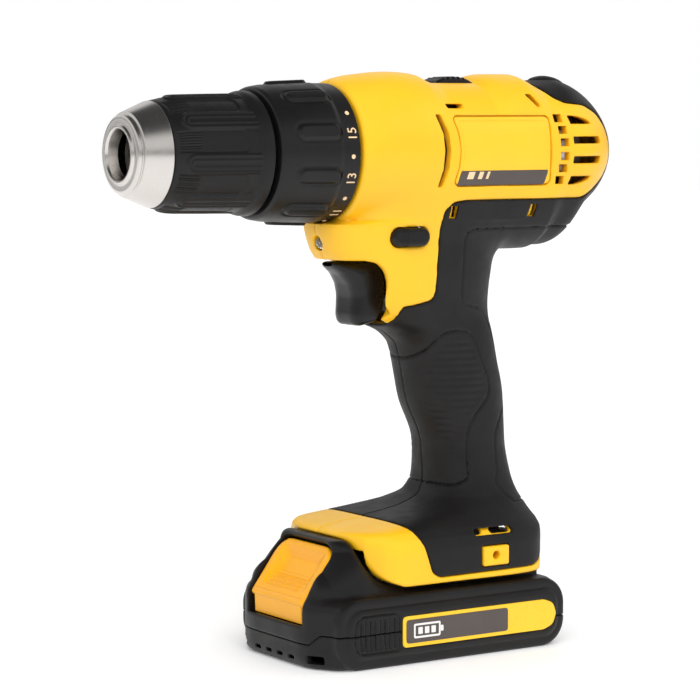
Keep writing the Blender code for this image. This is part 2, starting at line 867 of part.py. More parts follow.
def sleeve_ripple(x, radius, angle):
    """Shallow pads round the sleeve, with ribs between them."""
    if radius < 21.0 or x > -72.0 or x < -102.0:
        return 0.0
    return 0.0 if (angle * SLEEVE_PADS / (2 * math.pi)) % 1 < 0.3 else -0.5


def collar_ripple(x, radius, angle):
    """Raised grip ribs round the middle of the clutch collar."""
    if radius < 26.1 or not -58.0 <= x <= -42.0:
        return 0.0
    return RIB_HEIGHT if (angle * COLLAR_RIBS / (2 * math.pi)) % 1 < 0.4 else 0.0


# ---- Controls ----


def build_controls():
    finish(turned(COLLAR_PROFILE, 40, collar_ripple), "clutch_collar", BLACK, (0, 0, AXIS))

    trigger = prism(TRIGGER_OUTLINE, -TRIGGER_HALF_WIDTH, TRIGGER_HALF_WIDTH)
    spring_room = axle(-21.5, -12.0, 7.6, z=TRIGGER_Z)
    stem = block((-22.5, -6.5), (-3.6, 3.6), (TRIGGER_Z - 3.6, TRIGGER_Z + 3.6))
    finish(join(cut(trigger, spring_room), stem), "trigger", BLACK, (-12.4, 0, TRIGGER_Z))

    switch = block((-4.6, 22.0), (-9.0, 9.0), (TRIGGER_Z - 10.0, TRIGGER_Z + 10.6))
    stem_room = block((-6.0, 3.0), (-4.0, 4.0), (TRIGGER_Z - 4.0, TRIGGER_Z + 4.0))
    finish(cut(switch, stem_room), "switch_body", GREY)
    finish(coil((-13.6, 0, TRIGGER_Z), (1, 0, 0), 6.2, 0.6, 8.0, 4), "trigger_spring", STEEL)

    button = prism(stadium(BUTTON_X, BUTTON_Z, 16.5, 7.2), -BUTTON_HALF_LENGTH, BUTTON_HALF_LENGTH)
    finish(button, "direction_button", BLACK, (BUTTON_X, 0, BUTTON_Z))

    slider = block((14.6, 30.4), (-8.8, 8.8), (217.0, 219.6))
    slider = join(slider, prism(((15.4, 219.0), (17.0, 221.0), (28.0, 221.0), (29.6, 219.0)), -7.6, 7.6))
    fork = block((15.0, 19.0), (-5.4, 5.4), (AXIS + 20.6, 218.0))
    finish(join(slider, fork), "speed_selector", BLACK, (22.5, 0, 219.0))


# ---- Battery pack ----


def pack_outline(inset=0.0):
    """The pack seen from above: bevelled front corners and round rear ones."""
    points = [(-57.4, -23.0), (-49.5, -36.5)]
    corner = 6.0
    for k in range(5):
        angle = -math.pi / 2 + math.pi / 2 * k / 4
        points.append((PACK_REAR - corner + corner * math.cos(angle), -36.5 + corner + corner * math.sin(angle)))
    points += [(x, -y) for x, y in reversed(points)]
    return grown(points, -inset) if inset else points


def cover_hump():
    """The raised front of the pack's cover, which fills the hood of the tool's foot."""
    outline = (
        (-57.2, 12.0),
        (-57.6, 22.0),
        (-54.8, 28.0),
        (-44.2, 44.6),
        (-41.4, 46.9),
        (-37.2, 47.2),
        (-35.9, 46.0),
        (-34.5, 42.4),
        (-32.8, 37.7),
        (-29.9, 33.4),
        (-26.0, 31.0),
        (-21.4, 29.4),
        (-20.0, 12.0),
    )
    hump = prism(outline, -31.0, 31.0)
    taper = [(-58.0, -21.5), (-54.4, -25.5), (-46.0, -30.5), (-30.0, -33.0), (-10.0, -33.0)]
    taper += [(x, -y) for x, y in reversed(taper)]
    hump = keep(hump, slab(taper, 0.0, 60.0))
    slope = ((-40.0, 10.0), (-40.0, 20.0), (-22.5, 50.0), (22.5, 50.0), (40.0, 20.0), (40.0, 10.0))
    return keep(hump, loft([[(x, y, z) for y, z in slope] for x in (-70.0, 0.0)]))


def build_battery():
    origin = (0, 0, 0)
    case = slab(pack_outline(), 0.0, PACK_SEAM)
    case = cut(case, slab(pack_outline(PACK_WALL), PACK_WALL, PACK_SEAM + 5))
    finish(case, "battery_case", BLACK, origin)

    cover = slab(pack_outline(), PACK_SEAM + 0.4, 26.6)
    rails = block((-30.0, 50.5), (-24.6, 24.6), (24.0, 42.6))
    cover = join(cover, cover_hump(), cut(rails, block((20.0, 60.0), (-30, 30), (29.0, 32.0))))
    room = slab(pack_outline(PACK_WALL), 0.0, 24.2)
    room = cut(room, block((-60.0, -42.4), (-40, 40), (-5, 60)))
    cover = cut(cover, room)
    room_outline = (
        (-62.0, 11.9),
        (-52.4, 11.9),
        (-52.4, 16.0),
        (-45.9, 26.2),
        (-37.4, 26.2),
        (-37.4, 45.3),
        (-62.0, 45.3),
    )
    button_room = prism(room_outline, -RELEASE_ROOM, RELEASE_ROOM)
    slots = [block((8.0, 62.0), (y - 1.4, y + 1.4), (34.0, 46.0)) for y in CONTACT_ROWS]
    cover = cut(cover, button_room, *slots)
    finish(cover, "battery_cover", BLACK, origin, "battery_case")

    outline = (
        (-55.0, 16.4),
        (-56.6, 23.0),
        (-55.8, 25.0),
        (-41.0, 44.6),
        (-38.0, 44.6),
        (-38.0, 36.0),
        (-43.4, 36.0),
        (-53.0, 21.0),
        (-53.0, 16.4),
    )
    button = prism(outline, -RELEASE_HALF_WIDTH, RELEASE_HALF_WIDTH)
    finish(button, "release_button", YELLOW, (-46.0, 0, 32.0), "battery_case")
    finish(coil((-40.6, 0, 28.3), (0, 0, 1), 2.6, 0.45, 7.0, 4), "release_spring", STEEL, origin, "battery_case")

    for number in range(1, 6):
        x = CELL_ROW_X + (number - 3) * CELL_PITCH
        half = CELL_LENGTH / 2
        cell = rod((x, -half, CELL_HEIGHT), (x, half, CELL_HEIGHT), CELL_RADIUS, 16)
        finish(cell, f"cell_{number}", CELL_WRAP, origin, "battery_case")

    terminals = block((6.0, 34.0), (-20.0, 20.0), (43.8, 49.0))
    for y in CONTACT_ROWS:
        terminals = join(terminals, block((10.0, 30.0), (y - 0.7, y + 0.7), (35.0, 45.0)))
    finish(terminals, "terminal_block", GREY)


def main():
    clear_scene()
    build_housing()
    build_screws()
    build_work_light()
    build_gearbox()
    build_motor()
    build_chuck()
    build_controls()
    build_battery()


main()
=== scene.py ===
"""Looks of the cordless drill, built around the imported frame.

The housing, the grips and the battery pack are moulded shapes, so each is written as a signed distance in
millimetres (negative inside) and turned into a mesh by dual contouring. Round pieces are turned profiles.
The chuck points along -X, the left side faces -Y and +Z is up, as in the frame.
"""

import math

import bmesh
import bpy
import numpy as np
from mathutils import Matrix, Vector


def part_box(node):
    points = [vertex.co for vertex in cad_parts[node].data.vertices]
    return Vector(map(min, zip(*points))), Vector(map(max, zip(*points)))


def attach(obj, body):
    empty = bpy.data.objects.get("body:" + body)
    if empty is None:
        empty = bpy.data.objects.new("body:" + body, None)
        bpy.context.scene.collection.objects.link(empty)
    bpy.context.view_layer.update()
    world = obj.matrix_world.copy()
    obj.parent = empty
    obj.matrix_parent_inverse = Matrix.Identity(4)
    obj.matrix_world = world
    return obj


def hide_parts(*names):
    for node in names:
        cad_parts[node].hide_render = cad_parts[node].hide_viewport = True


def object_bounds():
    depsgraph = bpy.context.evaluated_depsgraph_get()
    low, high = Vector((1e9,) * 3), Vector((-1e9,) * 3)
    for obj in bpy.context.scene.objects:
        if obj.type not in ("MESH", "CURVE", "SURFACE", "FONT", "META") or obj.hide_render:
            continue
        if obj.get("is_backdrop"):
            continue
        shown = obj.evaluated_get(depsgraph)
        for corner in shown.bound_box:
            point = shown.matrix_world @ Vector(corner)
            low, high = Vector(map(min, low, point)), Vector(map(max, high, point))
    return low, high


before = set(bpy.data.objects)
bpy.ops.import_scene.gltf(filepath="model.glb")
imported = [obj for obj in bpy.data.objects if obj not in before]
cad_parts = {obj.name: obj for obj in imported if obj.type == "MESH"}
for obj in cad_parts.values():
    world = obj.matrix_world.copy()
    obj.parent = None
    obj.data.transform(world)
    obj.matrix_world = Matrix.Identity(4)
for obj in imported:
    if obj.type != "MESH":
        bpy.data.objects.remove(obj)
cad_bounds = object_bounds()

MM = 0.001
COARSE = 1.0


def centre_of(node):
    """Middle of a CAD node's box, in millimetres."""
    low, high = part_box(node)
    return [(a + b) / 2 / MM for a, b in zip(low, high)]


def span(node, axis):
    """Lowest and highest place of a CAD node along an axis, in millimetres."""
    low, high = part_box(node)
    return low[axis] / MM, high[axis] / MM


AXIS = centre_of("chuck_nose")[2]
GAP = 0.3
SKIN = 1.2
CAVITY = 3.7
SPLIT = 0.15
DOME_START = 66.0
DOME_LENGTH = span("grip_left", 0)[1] - DOME_START

# Barrel: x, half width, reach above the axis, reach below it, power of the rounded section
BARREL = (
    (-34.0, 27.0, 26.4, 27.2, 2.0),
    (-31.5, 27.4, 27.4, 27.8, 2.0),
    (-28.0, 28.0, 28.4, 28.2, 2.05),
    (-22.0, 28.4, 29.5, 28.8, 2.1),
    (-6.0, 28.2, 30.7, 30.0, 2.2),
    (2.5, 27.7, 30.1, 31.0, 2.2),
    (6.5, 27.5, 28.3, 32.0, 2.25),
    (10.5, 27.3, 27.0, 33.0, 2.3),
    (29.5, 27.2, 27.0, 35.5, 2.3),
    (33.0, 27.2, 29.0, 36.0, 2.3),
    (38.0, 27.2, 30.0, 37.0, 2.3),
    (49.0, 27.2, 30.1, 38.0, 2.3),
    (53.0, 27.1, 28.8, 38.2, 2.3),
    (57.0, 27.0, 27.0, 38.2, 2.3),
    (64.0, 27.0, 28.0, 30.5, 2.15),
    (70.0, 26.9, 28.6, 28.6, 2.1),
    (98.0, 25.0, 26.4, 26.0, 2.0),
)

# Nose block, handle and foot: z, front x, rear x, half width, power of the rounded section
COLUMN = (
    (20.0, -38.2, 49.6, 35.8, 6.0),
    (29.9, -38.2, 49.6, 35.8, 6.0),
    (42.0, -38.2, 50.4, 35.7, 5.6),
    (46.5, -38.0, 51.2, 34.8, 5.2),
    (48.6, -37.2, 51.5, 33.2, 4.8),
    (49.9, -34.0, 51.5, 32.0, 4.5),
    (51.1, -27.0, 51.4, 30.4, 4.1),
    (52.9, -14.6, 51.0, 28.0, 3.7),
    (55.4, 0.4, 50.3, 25.0, 3.3),
    (59.4, 9.4, 49.0, 21.2, 2.95),
    (66.0, 11.4, 47.8, 18.5, 2.6),
    (80.0, 10.4, 46.2, 17.0, 2.35),
    (97.0, 3.6, 45.7, 17.2, 2.35),
    (112.0, 0.4, 42.6, 17.3, 2.35),
    (118.0, -1.2, 41.2, 17.3, 2.4),
    (123.0, -6.2, 40.2, 17.3, 2.4),
    (127.5, -16.4, 39.3, 17.4, 2.4),
    (135.0, -28.6, 38.7, 18.2, 2.5),
    (152.0, -34.0, 40.0, 19.9, 2.8),
    (156.0, -36.2, 40.4, 20.2, 2.9),
    (165.7, -38.4, 42.5, 20.9, 3.0),
    (167.5, -32.5, 44.0, 20.9, 2.9),
    (188.0, -32.0, 44.0, 20.0, 2.7),
    (200.0, -32.0, 44.0, 18.0, 2.7),
)


# ---- Signed distances, in millimetres ----


def soft_max(a, b, radius):
    """The larger of two distances, which rounds the edge where both are zero."""
    overlap = np.maximum(radius - np.abs(a - b), 0.0) / radius
    return np.maximum(a, b) + overlap * overlap * radius / 4


def soft_min(a, b, radius):
    return -soft_max(-a, -b, radius)


class Stations:
    """Sizes at places along one direction, joined by smooth curves that never overshoot."""

    def __init__(self, rows, step=0.2):
        table = np.array(rows, float)
        at, values = table[:, 0], table[:, 1:]
        length = np.diff(at)[:, None]
        slope = np.diff(values, axis=0) / length
        before, after = 2 * length[1:] + length[:-1], length[1:] + 2 * length[:-1]
        steep = slope[1:] * slope[:-1] > 0
        safe = [np.where(steep, part, 1.0) for part in (slope[:-1], slope[1:])]
        tangent = np.zeros_like(values)
        tangent[1:-1] = np.where(steep, (before + after) / (before / safe[0] + after / safe[1]), 0.0)
        self.at = np.arange(at[0], at[-1] + step, step)
        k = np.clip(np.searchsorted(at, self.at, side="right") - 1, 0, len(at) - 2)
        t = ((self.at - at[k]) / length[k, 0])[:, None]
        self.columns = (
            (1 + 2 * t) * (1 - t) ** 2 * values[k]
            + t * (1 - t) ** 2 * length[k] * tangent[k]
            + t * t * (3 - 2 * t) * values[k + 1]
            + t * t * (t - 1) * length[k] * tangent[k + 1]
        ).T

    def __call__(self, where):
        return [np.interp(where, self.at, column) for column in self.columns]


class Outline:
    """A closed outline in a plane as a grid of signed distances, with its corners rounded by soft."""

    def __init__(self, points, soft=1.0, box=None, step=0.3):
        points = np.array(points, float)
        low = np.array(box[0] if box else points.min(0) - 6, float)
        high = np.array(box[1] if box else points.max(0) + 6, float)
        self.low, self.step = low, step
        counts = np.ceil((high - low) / step).astype(int) + 1
        u = low[0] + step * np.arange(counts[0])[:, None]
        v = low[1] + step * np.arange(counts[1])[None, :]
        nearest = np.full(counts, 1e9)
        inside = np.zeros(counts, bool)
        for (u0, v0), (u1, v1) in zip(points, np.roll(points, -1, axis=0)):
            du, dv = u1 - u0, v1 - v0
            along = np.clip(((u - u0) * du + (v - v0) * dv) / (du * du + dv * dv), 0, 1)
            nearest = np.minimum(nearest, (u - u0 - along * du) ** 2 + (v - v0 - along * dv) ** 2)
            if v0 != v1:
                inside ^= ((v0 > v) != (v1 > v)) & (u < u0 + (v - v0) * du / dv)
        grid = np.where(inside, -1.0, 1.0) * np.sqrt(nearest)
        width = int(round(soft / step))
        for axis in (0, 1):
            for _ in range(2 if width else 0):
                moved = [np.roll(grid, shift, axis) for shift in range(-width, width + 1)]
                grid = sum(moved) / len(moved)
        self.grid = grid

    def __call__(self, u, v):
        places = []
        beyond = 0.0
        for value, low, count in ((u, self.low[0], self.grid.shape[0]), (v, self.low[1], self.grid.shape[1])):
            place = (value - low) / self.step
            held = np.clip(place, 2, count - 3.001)
            beyond = beyond + np.abs(place - held)
            places.append(held)
        i, j = (place.astype(int) for place in places)
        a, b = places[0] - i, places[1] - j
        grid = self.grid
        near = grid[i, j] * (1 - b) + grid[i, j + 1] * b
        far = grid[i + 1, j] * (1 - b) + grid[i + 1, j + 1] * b
        return near * (1 - a) + far * a + beyond * self.step


def box_field(x, y, z, low, high, radius=0.5):
    """A rounded block."""
    parts = []
    for value, a, b in ((x, low[0], high[0]), (y, low[1], high[1]), (z, low[2], high[2])):
        parts.append(np.abs(value - (a + b) / 2) - (b - a) / 2 + radius)
    outside = np.sqrt(sum(np.maximum(part, 0.0) ** 2 for part in parts))
    return outside + np.minimum(np.maximum(np.maximum(parts[0], parts[1]), parts[2]), 0.0) - radius


def pill_field(u, v, middle_u, middle_v, length, width):
    """A stadium in a plane, long along u."""
    along = np.maximum(np.abs(u - middle_u) - (length - width) / 2, 0.0)
    return np.hypot(along, v - middle_v) - width / 2


# ---- Dual contouring ----

BLOCK = 8


def sampled(field, points):
    """The field at an array of points, in pieces that keep memory low."""
    out = np.empty(len(points))
    for start in range(0, len(points), 400_000):
        part = points[start : start + 400_000]
        out[start : start + 400_000] = field(part[:, 0], part[:, 1], part[:, 2])
    return out


def grid_values(field, low, blocks, cell):
    """The field on the whole grid: exact near the surface, and only its sign elsewhere."""
    index = np.indices(blocks).reshape(3, -1).T
    far = sampled(field, low + (index * BLOCK + (BLOCK - 1) / 2) * cell)
    near = np.abs(far) < 1.3 * math.sqrt(3) / 2 * BLOCK * cell + 1.5
    sign = np.sign(far).reshape(*blocks, 1, 1, 1)
    filled = np.broadcast_to(sign, (*blocks, BLOCK, BLOCK, BLOCK)).copy()
    inner = np.indices((BLOCK, BLOCK, BLOCK)).reshape(3, -1).T
    chosen = index[near]
    for start in range(0, len(chosen), 700):
        part = chosen[start : start + 700]
        points = low + (part[:, None, :] * BLOCK + inner[None]) * cell
        result = sampled(field, points.reshape(-1, 3))
        filled[part[:, 0], part[:, 1], part[:, 2]] = result.reshape(-1, BLOCK, BLOCK, BLOCK)
    return filled.transpose(0, 3, 1, 4, 2, 5).reshape([count * BLOCK for count in blocks])


def crossings(field, values, low, cell, axis):
    """Edges of the grid along axis that cross the surface: index, point, outward normal and direction."""
    size = values.shape[axis]
    first = np.take(values, range(size - 1), axis)
    second = np.take(values, range(1, size), axis)
    index = np.argwhere((first < 0) != (second < 0))
    a, b = (part[tuple(index.T)] for part in (first, second))
    t_low, t_high, f_low, f_high = np.zeros(len(a)), np.ones(len(a)), a.copy(), b.copy()
    for _ in range(3):
        t = np.clip(t_low + (t_high - t_low) * f_low / (f_low - f_high), 0.0, 1.0)
        points = low + cell * index
        points[:, axis] += t * cell
        f = sampled(field, points)
        same = (f < 0) == (f_low < 0)
        t_low, f_low = np.where(same, t, t_low), np.where(same, f, f_low * 0.7)
        t_high, f_high = np.where(same, t_high, t), np.where(same, f_high * 0.7, f)
    normal = np.empty_like(points)
    for k in range(3):
        shifted = points.copy()
        shifted[:, k] += 0.03
        normal[:, k] = sampled(field, shifted) - f
    normal /= np.maximum(np.linalg.norm(normal, axis=1), 1e-12)[:, None]
    return index, points, normal, a < 0


def contour(field, low, high, cell):
    """Points and quads of the surface where field is zero."""
    cell = cell * COARSE
    low = np.array(low, float) - 1.7 * cell
    blocks = np.ceil((np.array(high) + 2.5 * cell - low) / (BLOCK * cell)).astype(int)
    values = grid_values(field, low, tuple(blocks), cell)
    shape = np.array(values.shape)
    ids, places, normals, quads = [], [], [], []
    for axis in range(3):
        index, points, normal, leaving = crossings(field, values, low, cell, axis)
        one, two = (axis + 1) % 3, (axis + 2) % 3
        corners = []
        for step_one, step_two in ((1, 1), (0, 1), (0, 0), (1, 0)):
            around = index.copy()
            around[:, one] -= step_one
            around[:, two] -= step_two
            corners.append(np.ravel_multi_index(np.clip(around, 0, None).T, shape))
        corners = np.array(corners).T
        ids.append(corners.ravel())
        places.append(np.repeat(points, 4, axis=0))
        normals.append(np.repeat(normal, 4, axis=0))
        quads.append(np.where(leaving[:, None], corners, corners[:, ::-1]))
    ids, places, normals = np.concatenate(ids), np.concatenate(places), np.concatenate(normals)
    used, row = np.unique(ids, return_inverse=True)
    count = np.bincount(row).astype(float)
    middle = np.array([np.bincount(row, places[:, k]) for k in range(3)]).T / count[:, None]
    offset = ((places - middle[row]) * normals).sum(1)
    right = np.array([np.bincount(row, normals[:, k] * offset) for k in range(3)]).T
    left = np.empty((len(used), 3, 3))
    for i in range(3):
        for j in range(i, 3):
            left[:, i, j] = left[:, j, i] = np.bincount(row, normals[:, i] * normals[:, j])
    left += np.eye(3) * (0.06 * count)[:, None, None]
    shift = np.linalg.solve(left, right[:, :, None])[:, :, 0]
    corner = low + cell * np.array(np.unravel_index(used, shape)).T
    points = np.clip(middle + shift, corner, corner + cell)
    faces = np.searchsorted(used, np.concatenate(quads))
    return points, faces


def mesh_object(name, points, faces):
    """An object in metres from points in millimetres and quads."""
    mesh = bpy.data.meshes.new(name)
    mesh.vertices.add(len(points))
    mesh.vertices.foreach_set("co", (points * MM).astype(np.float32).ravel())
    mesh.loops.add(faces.size)
    mesh.loops.foreach_set("vertex_index", faces.astype(np.int32).ravel())
    mesh.polygons.add(len(faces))
    mesh.polygons.foreach_set("loop_start", np.arange(0, faces.size, 4, dtype=np.int32))
    mesh.update(calc_edges=True)
    mesh.validate()
    mesh.shade_smooth()
    made = bpy.data.objects.new(name, mesh)
    bpy.context.scene.collection.objects.link(made)
    return made


def moulded(name, field, low, high, cell, sharp=50):
    """A piece from its signed distance. Edges sharper than the angle stay sharp in shading."""
    piece = mesh_object(name, *contour(field, low, high, cell))
    piece.data.set_sharp_from_angle(angle=math.radians(sharp))
    return piece


# ---- Housing, grips and badges ----

TRIGGER_NOTCH = (
    (-60.0, 152.0),
    (-21.0, 152.0),
    (-16.6, 151.1),
    (-13.4, 148.3),
    (-11.9, 144.3),
    (-11.9, 137.8),
    (-12.8, 132.4),
    (-15.2, 129.0),
    (-19.0, 127.2),
    (-60.0, 126.2),
)
GRIP_OUTLINE = (
    (-28.0, 121.6),
    (-19.0, 121.6),
    (-14.4, 123.2),
    (-10.8, 129.4),
    (-9.2, 133.9),
    (-2.0, 134.9),
    (3.5, 136.2),
    (5.0, 139.4),
    (5.2, 163.0),
    (6.1, 170.5),
    (9.4, 173.6),
    (14.6, 174.4),
    (72.0, 174.3),
    (80.0, 177.0),
    (86.0, 181.6),
    (90.0, 186.7),
    (91.5, 192.7),
    (90.2, 196.6),
    (87.1, 202.6),
    (82.0, 207.4),
    (74.4, 210.6),
    (65.0, 211.4),
    (60.5, 213.4),
    (57.0, 217.5),
    (56.0, 240.0),
    (120.0, 240.0),
    (120.0, 43.0),
    (50.2, 43.0),
    (48.4, 37.6),
    (45.2, 33.8),
    (40.5, 32.4),
    (-4.9, 32.1),
    (-8.1, 34.1),
    (-10.0, 40.1),
    (-11.4, 44.1),
    (-15.1, 51.2),
    (-19.4, 54.2),
    (-27.5, 57.6),
    (-60.0, 60.5),
    (-60.0, 123.8),
)
BADGE_OUTLINE = (
    (9.5, 206.5),
    (52.5, 206.5),
    (53.8, 205.2),
    (53.8, 181.2),
    (52.5, 179.8),
    (9.5, 179.8),
    (8.2, 181.2),
    (10.0, 187.0),
    (10.6, 193.2),
    (10.0, 199.4),
    (8.2, 205.2),
)
STRIP_OUTLINE = ((9.3, 180.0), (10.9, 185.6), (52.4, 185.6), (50.6, 180.0))
HOOD_CUT = (
    (-70.0, 20.0),
    (-20.3, 20.0),
    (-20.3, 29.9),
    (-25.5, 31.6),
    (-29.4, 33.9),
    (-32.2, 37.8),
    (-33.9, 42.6),
    (-35.4, 46.4),
    (-36.8, 47.7),
    (-70.0, 47.8),
)
STRAP_OUTLINE = (
    (17.6, 161.0),
    (17.6, 135.3),
    (20.9, 133.6),
    (28.1, 132.1),
    (32.9, 127.6),
    (38.8, 114.7),
    (41.8, 104.7),
    (43.2, 96.7),
    (42.3, 92.8),
    (40.3, 91.3),
    (37.0, 87.2),
    (34.5, 82.6),
    (34.6, 67.5),
    (32.7, 63.7),
    (35.6, 59.5),
    (39.0, 56.0),
    (90.0, 56.0),
    (90.0, 163.0),
    (20.0, 163.0),
)
PATCH_OUTLINE = (
    (-14.2, 113.2),
    (-10.6, 111.5),
    (-5.0, 111.2),
    (1.0, 113.2),
    (4.7, 116.8),
    (8.0, 121.3),
    (10.3, 123.1),
    (15.1, 124.0),
    (19.8, 123.4),
    (23.1, 121.7),
    (25.5, 117.7),
    (27.9, 111.7),
    (30.8, 105.7),
    (31.8, 100.6),
    (30.9, 97.5),
    (28.0, 94.1),
    (24.6, 90.4),
    (22.3, 86.7),
    (21.3, 80.8),
    (21.4, 65.9),
    (16.0, 63.5),
    (-30.0, 63.5),
    (-30.0, 113.2),
)
SIDE_VIEW = ((-75.0, 5.0), (125.0, 245.0))
FRONT_VENT = (
    (0.0, 206.9),
    (2.4, 206.9),
    (5.0, 200.4),
    (6.0, 193.2),
    (5.0, 186.0),
    (2.8, 179.6),
    (0.7, 179.6),
    (2.4, 186.0),
    (3.2, 193.2),
    (2.4, 200.4),
)
REAR_VENTS = (
    ((63.4, 206.6), (68.5, 206.2), (73.0, 205.0), (76.4, 203.2), (64.4, 203.2)),
    ((64.8, 198.3), (80.0, 198.3), (81.2, 195.5), (65.2, 195.5)),
    ((65.2, 190.6), (81.2, 190.6), (80.0, 187.8), (64.8, 187.8)),
    ((64.4, 182.8), (76.4, 182.8), (73.0, 180.9), (68.5, 179.7), (63.4, 179.5)),
)
SMALL_VENTS = ((58.5, 205.4), (59.8, 200.9), (60.6, 196.1), (60.6, 190.7), (59.8, 186.0), (58.5, 181.4))
TOP_SLOT = ((6.6, 210.9), (14.9, 210.9), (14.6, 209.3), (7.4, 209.3))
SLANTED_SLOT = ((45.6, 214.8), (48.2, 214.8), (51.6, 209.8), (49.6, 209.8))
SCREWS = tuple(centre_of(f"housing_screw_{number}")[0::2] for number in range(1, 6))
FOOT_BOTTOM = span("housing_left", 2)[0]
BARREL_FRONT = span("clutch_collar", 0)[1] + 1.3
GRIP_SLOTS = (10.0, 47.6)  # places along x in the grip
SHELL_SLOTS = (11.2, 49.2)  # places of the narrower cuts behind them
LIGHT = centre_of("work_light_lens")
BUTTON = centre_of("direction_button")

barrel_sizes = Stations(BARREL)
column_sizes = Stations(COLUMN)
notch = Outline(TRIGGER_NOTCH, 1.2, SIDE_VIEW)
grip_region = Outline(GRIP_OUTLINE, 1.0, SIDE_VIEW)
badge_region = Outline(BADGE_OUTLINE, 0.6)
strip_region = Outline(STRIP_OUTLINE, 0.4)
hood = Outline(HOOD_CUT, 1.5, SIDE_VIEW)
strap = Outline(STRAP_OUTLINE, 0.9, SIDE_VIEW)
patch = Outline(PATCH_OUTLINE, 0.9, SIDE_VIEW)
side_slots = [Outline(points, 0.3, step=0.15) for points in (FRONT_VENT, *REAR_VENTS, TOP_SLOT, SLANTED_SLOT)]


def barrel(x, y, z):
    v = z - AXIS
    wide, up, down, power = barrel_sizes(x)
    reach = np.where(v > 0, up, down)
    behind = np.maximum(x - DOME_START, 0.0)
    share = (np.abs(y) / wide) ** power + (np.abs(v) / reach) ** power + (behind / DOME_LENGTH) ** power
    size = np.sqrt(y * y + v * v + behind * behind)
    radial = size * (1 - np.maximum(share, 1e-3) ** (-1 / power))
    return soft_max(radial, BARREL_FRONT - x, 1.5)


def column_reach(x, y, z):
    front, rear, wide, power = column_sizes(z)
    u = x - (front + rear) / 2
    share = (np.abs(u) * 2 / (rear - front)) ** power + (np.abs(y) / wide) ** power
    return np.hypot(u, y) * (1 - np.maximum(share, 1e-3) ** (-1 / power))


def column(x, y, z):
    """Nose block, handle and foot. Where the side slopes, the distance is shorter than its reach."""
    here = column_reach(x, y, z)
    slope = (column_reach(x, y, z + 0.1) - here) / 0.1
    sides = here / np.sqrt(1 + slope * slope)
    return soft_max(np.maximum(sides, z - 199.0), FOOT_BOTTOM - z, 1.2)


def motor_bulge(x, y, z):
    """The fuller underside of the housing behind the handle."""
    reach = np.interp(x, (20.0, 49.0, 62.0), (35.5, 38.2, 37.6))
    tube = (np.hypot(y / 25.2, (z - AXIS) / reach) - 1) * 29.0
    ends = np.maximum(x - 76.8 - 0.2 * (z - 165.0), 30.0 - x)
    return soft_max(soft_max(tube, ends, 10.0), z - 176.0, 1.0)


def body(x, y, z):
    """The tool's outer surface, without its openings."""
    blend = np.interp(x, (-34.0, -8.0), (2.0, 9.0))
    wide = np.interp(x, (-38.0, -36.0, -33.0, -28.0, -20.0), (13.5, 19.5, 26.5, 33.0, 42.0))
    wide = wide + np.interp(z, (60.0, 70.0), (0.0, 40.0))
    foot_and_grip = soft_max(column(x, y, z), (np.abs(y) - wide) * 0.8, 4.0)
    whole = soft_min(barrel(x, y, z), foot_and_grip, blend)
    whole = soft_min(whole, motor_bulge(x, y, z), 2.5)
    forward = np.interp(np.abs(y), (14.4, 15.4), (0.0, 4.0))  # the outer wall reaches over the trigger's back
    whole = soft_max(whole, -notch(x + forward, z), 0.9)
    return soft_max(whole, -hood(x, z), 1.0)


def shell_openings(x, y, z):
    """Cuts that go through the yellow shell. The shape is negative where there is nothing."""
    side = 14.0 - np.abs(y)
    cut = np.minimum.reduce([slot(x, z) for slot in side_slots])
    for u, v in SMALL_VENTS:
        cut = np.minimum(cut, np.maximum(np.abs(x - u) - 2.0, np.abs(z - v) - 1.5))
    for u, v, length in ((14.4, 47.5, 4.6), (25.2, 47.5, 9.4)):
        cut = np.minimum(cut, pill_field(x, z, u, v, length, 2.6))
    for u in SHELL_SLOTS:
        cut = np.minimum(cut, np.maximum(np.abs(x - u) - 1.0, np.abs(z - 170.2) - 2.4))
    cut = np.maximum(cut, side)
    cut = np.minimum(cut, pill_field(x, z, BUTTON[0] + 0.2, BUTTON[2], 17.1, 7.8))
    cut = np.minimum(cut, np.maximum(np.hypot(y, z - LIGHT[2]) - 2.9, x + 30.0))
    cut = np.minimum(cut, box_field(x, y, z, (9.8, -7.0, 212.0), (30.2, 7.0, 240.0), 1.0))
    cut = np.minimum(cut, box_field(x, y, z, (-90.0, -26.0, 0.0), (62.0, 26.0, 43.4), 1.0))
    return np.minimum(cut, box_field(x, y, z, (-45.0, -10.2, 126.6), (-8.0, 10.2, 151.6), 1.0))


def boss_pocket(x, y, z):
    (left, right), (bottom, top) = span("hook_boss_left", 0), span("hook_boss_left", 2)
    low, high = (left - 0.4, 31.6, bottom - 0.4), (right + 0.4, 45.0, top + 0.4)
    return box_field(x, np.abs(y), z, low, high, 0.8)


def screw_wells(x, y, z):
    return np.minimum.reduce([np.maximum(np.hypot(x - u, z - v) - 3.6, -y) for u, v in SCREWS])


def housing_field(side):
    def field(x, y, z):
        outer = body(x, y, z)
        covered = np.minimum(grip_region(x, z), badge_region(x, z)) - GAP / 2
        skin_room = np.maximum(covered, -(outer + SKIN + GAP))
        shape = soft_max(outer, -skin_room, 0.8)
        shape = np.maximum(shape, -(outer + CAVITY))
        shape = soft_max(shape, -shell_openings(x, y, z), 0.8)
        shape = soft_max(shape, -boss_pocket(x, y, z), 0.4)
        if side > 0:
            shape = np.maximum(shape, -screw_wells(x, y, z))
        return soft_max(shape, SPLIT - side * y, 0.5)

    return field


GROOVE_PITCH = 2.7


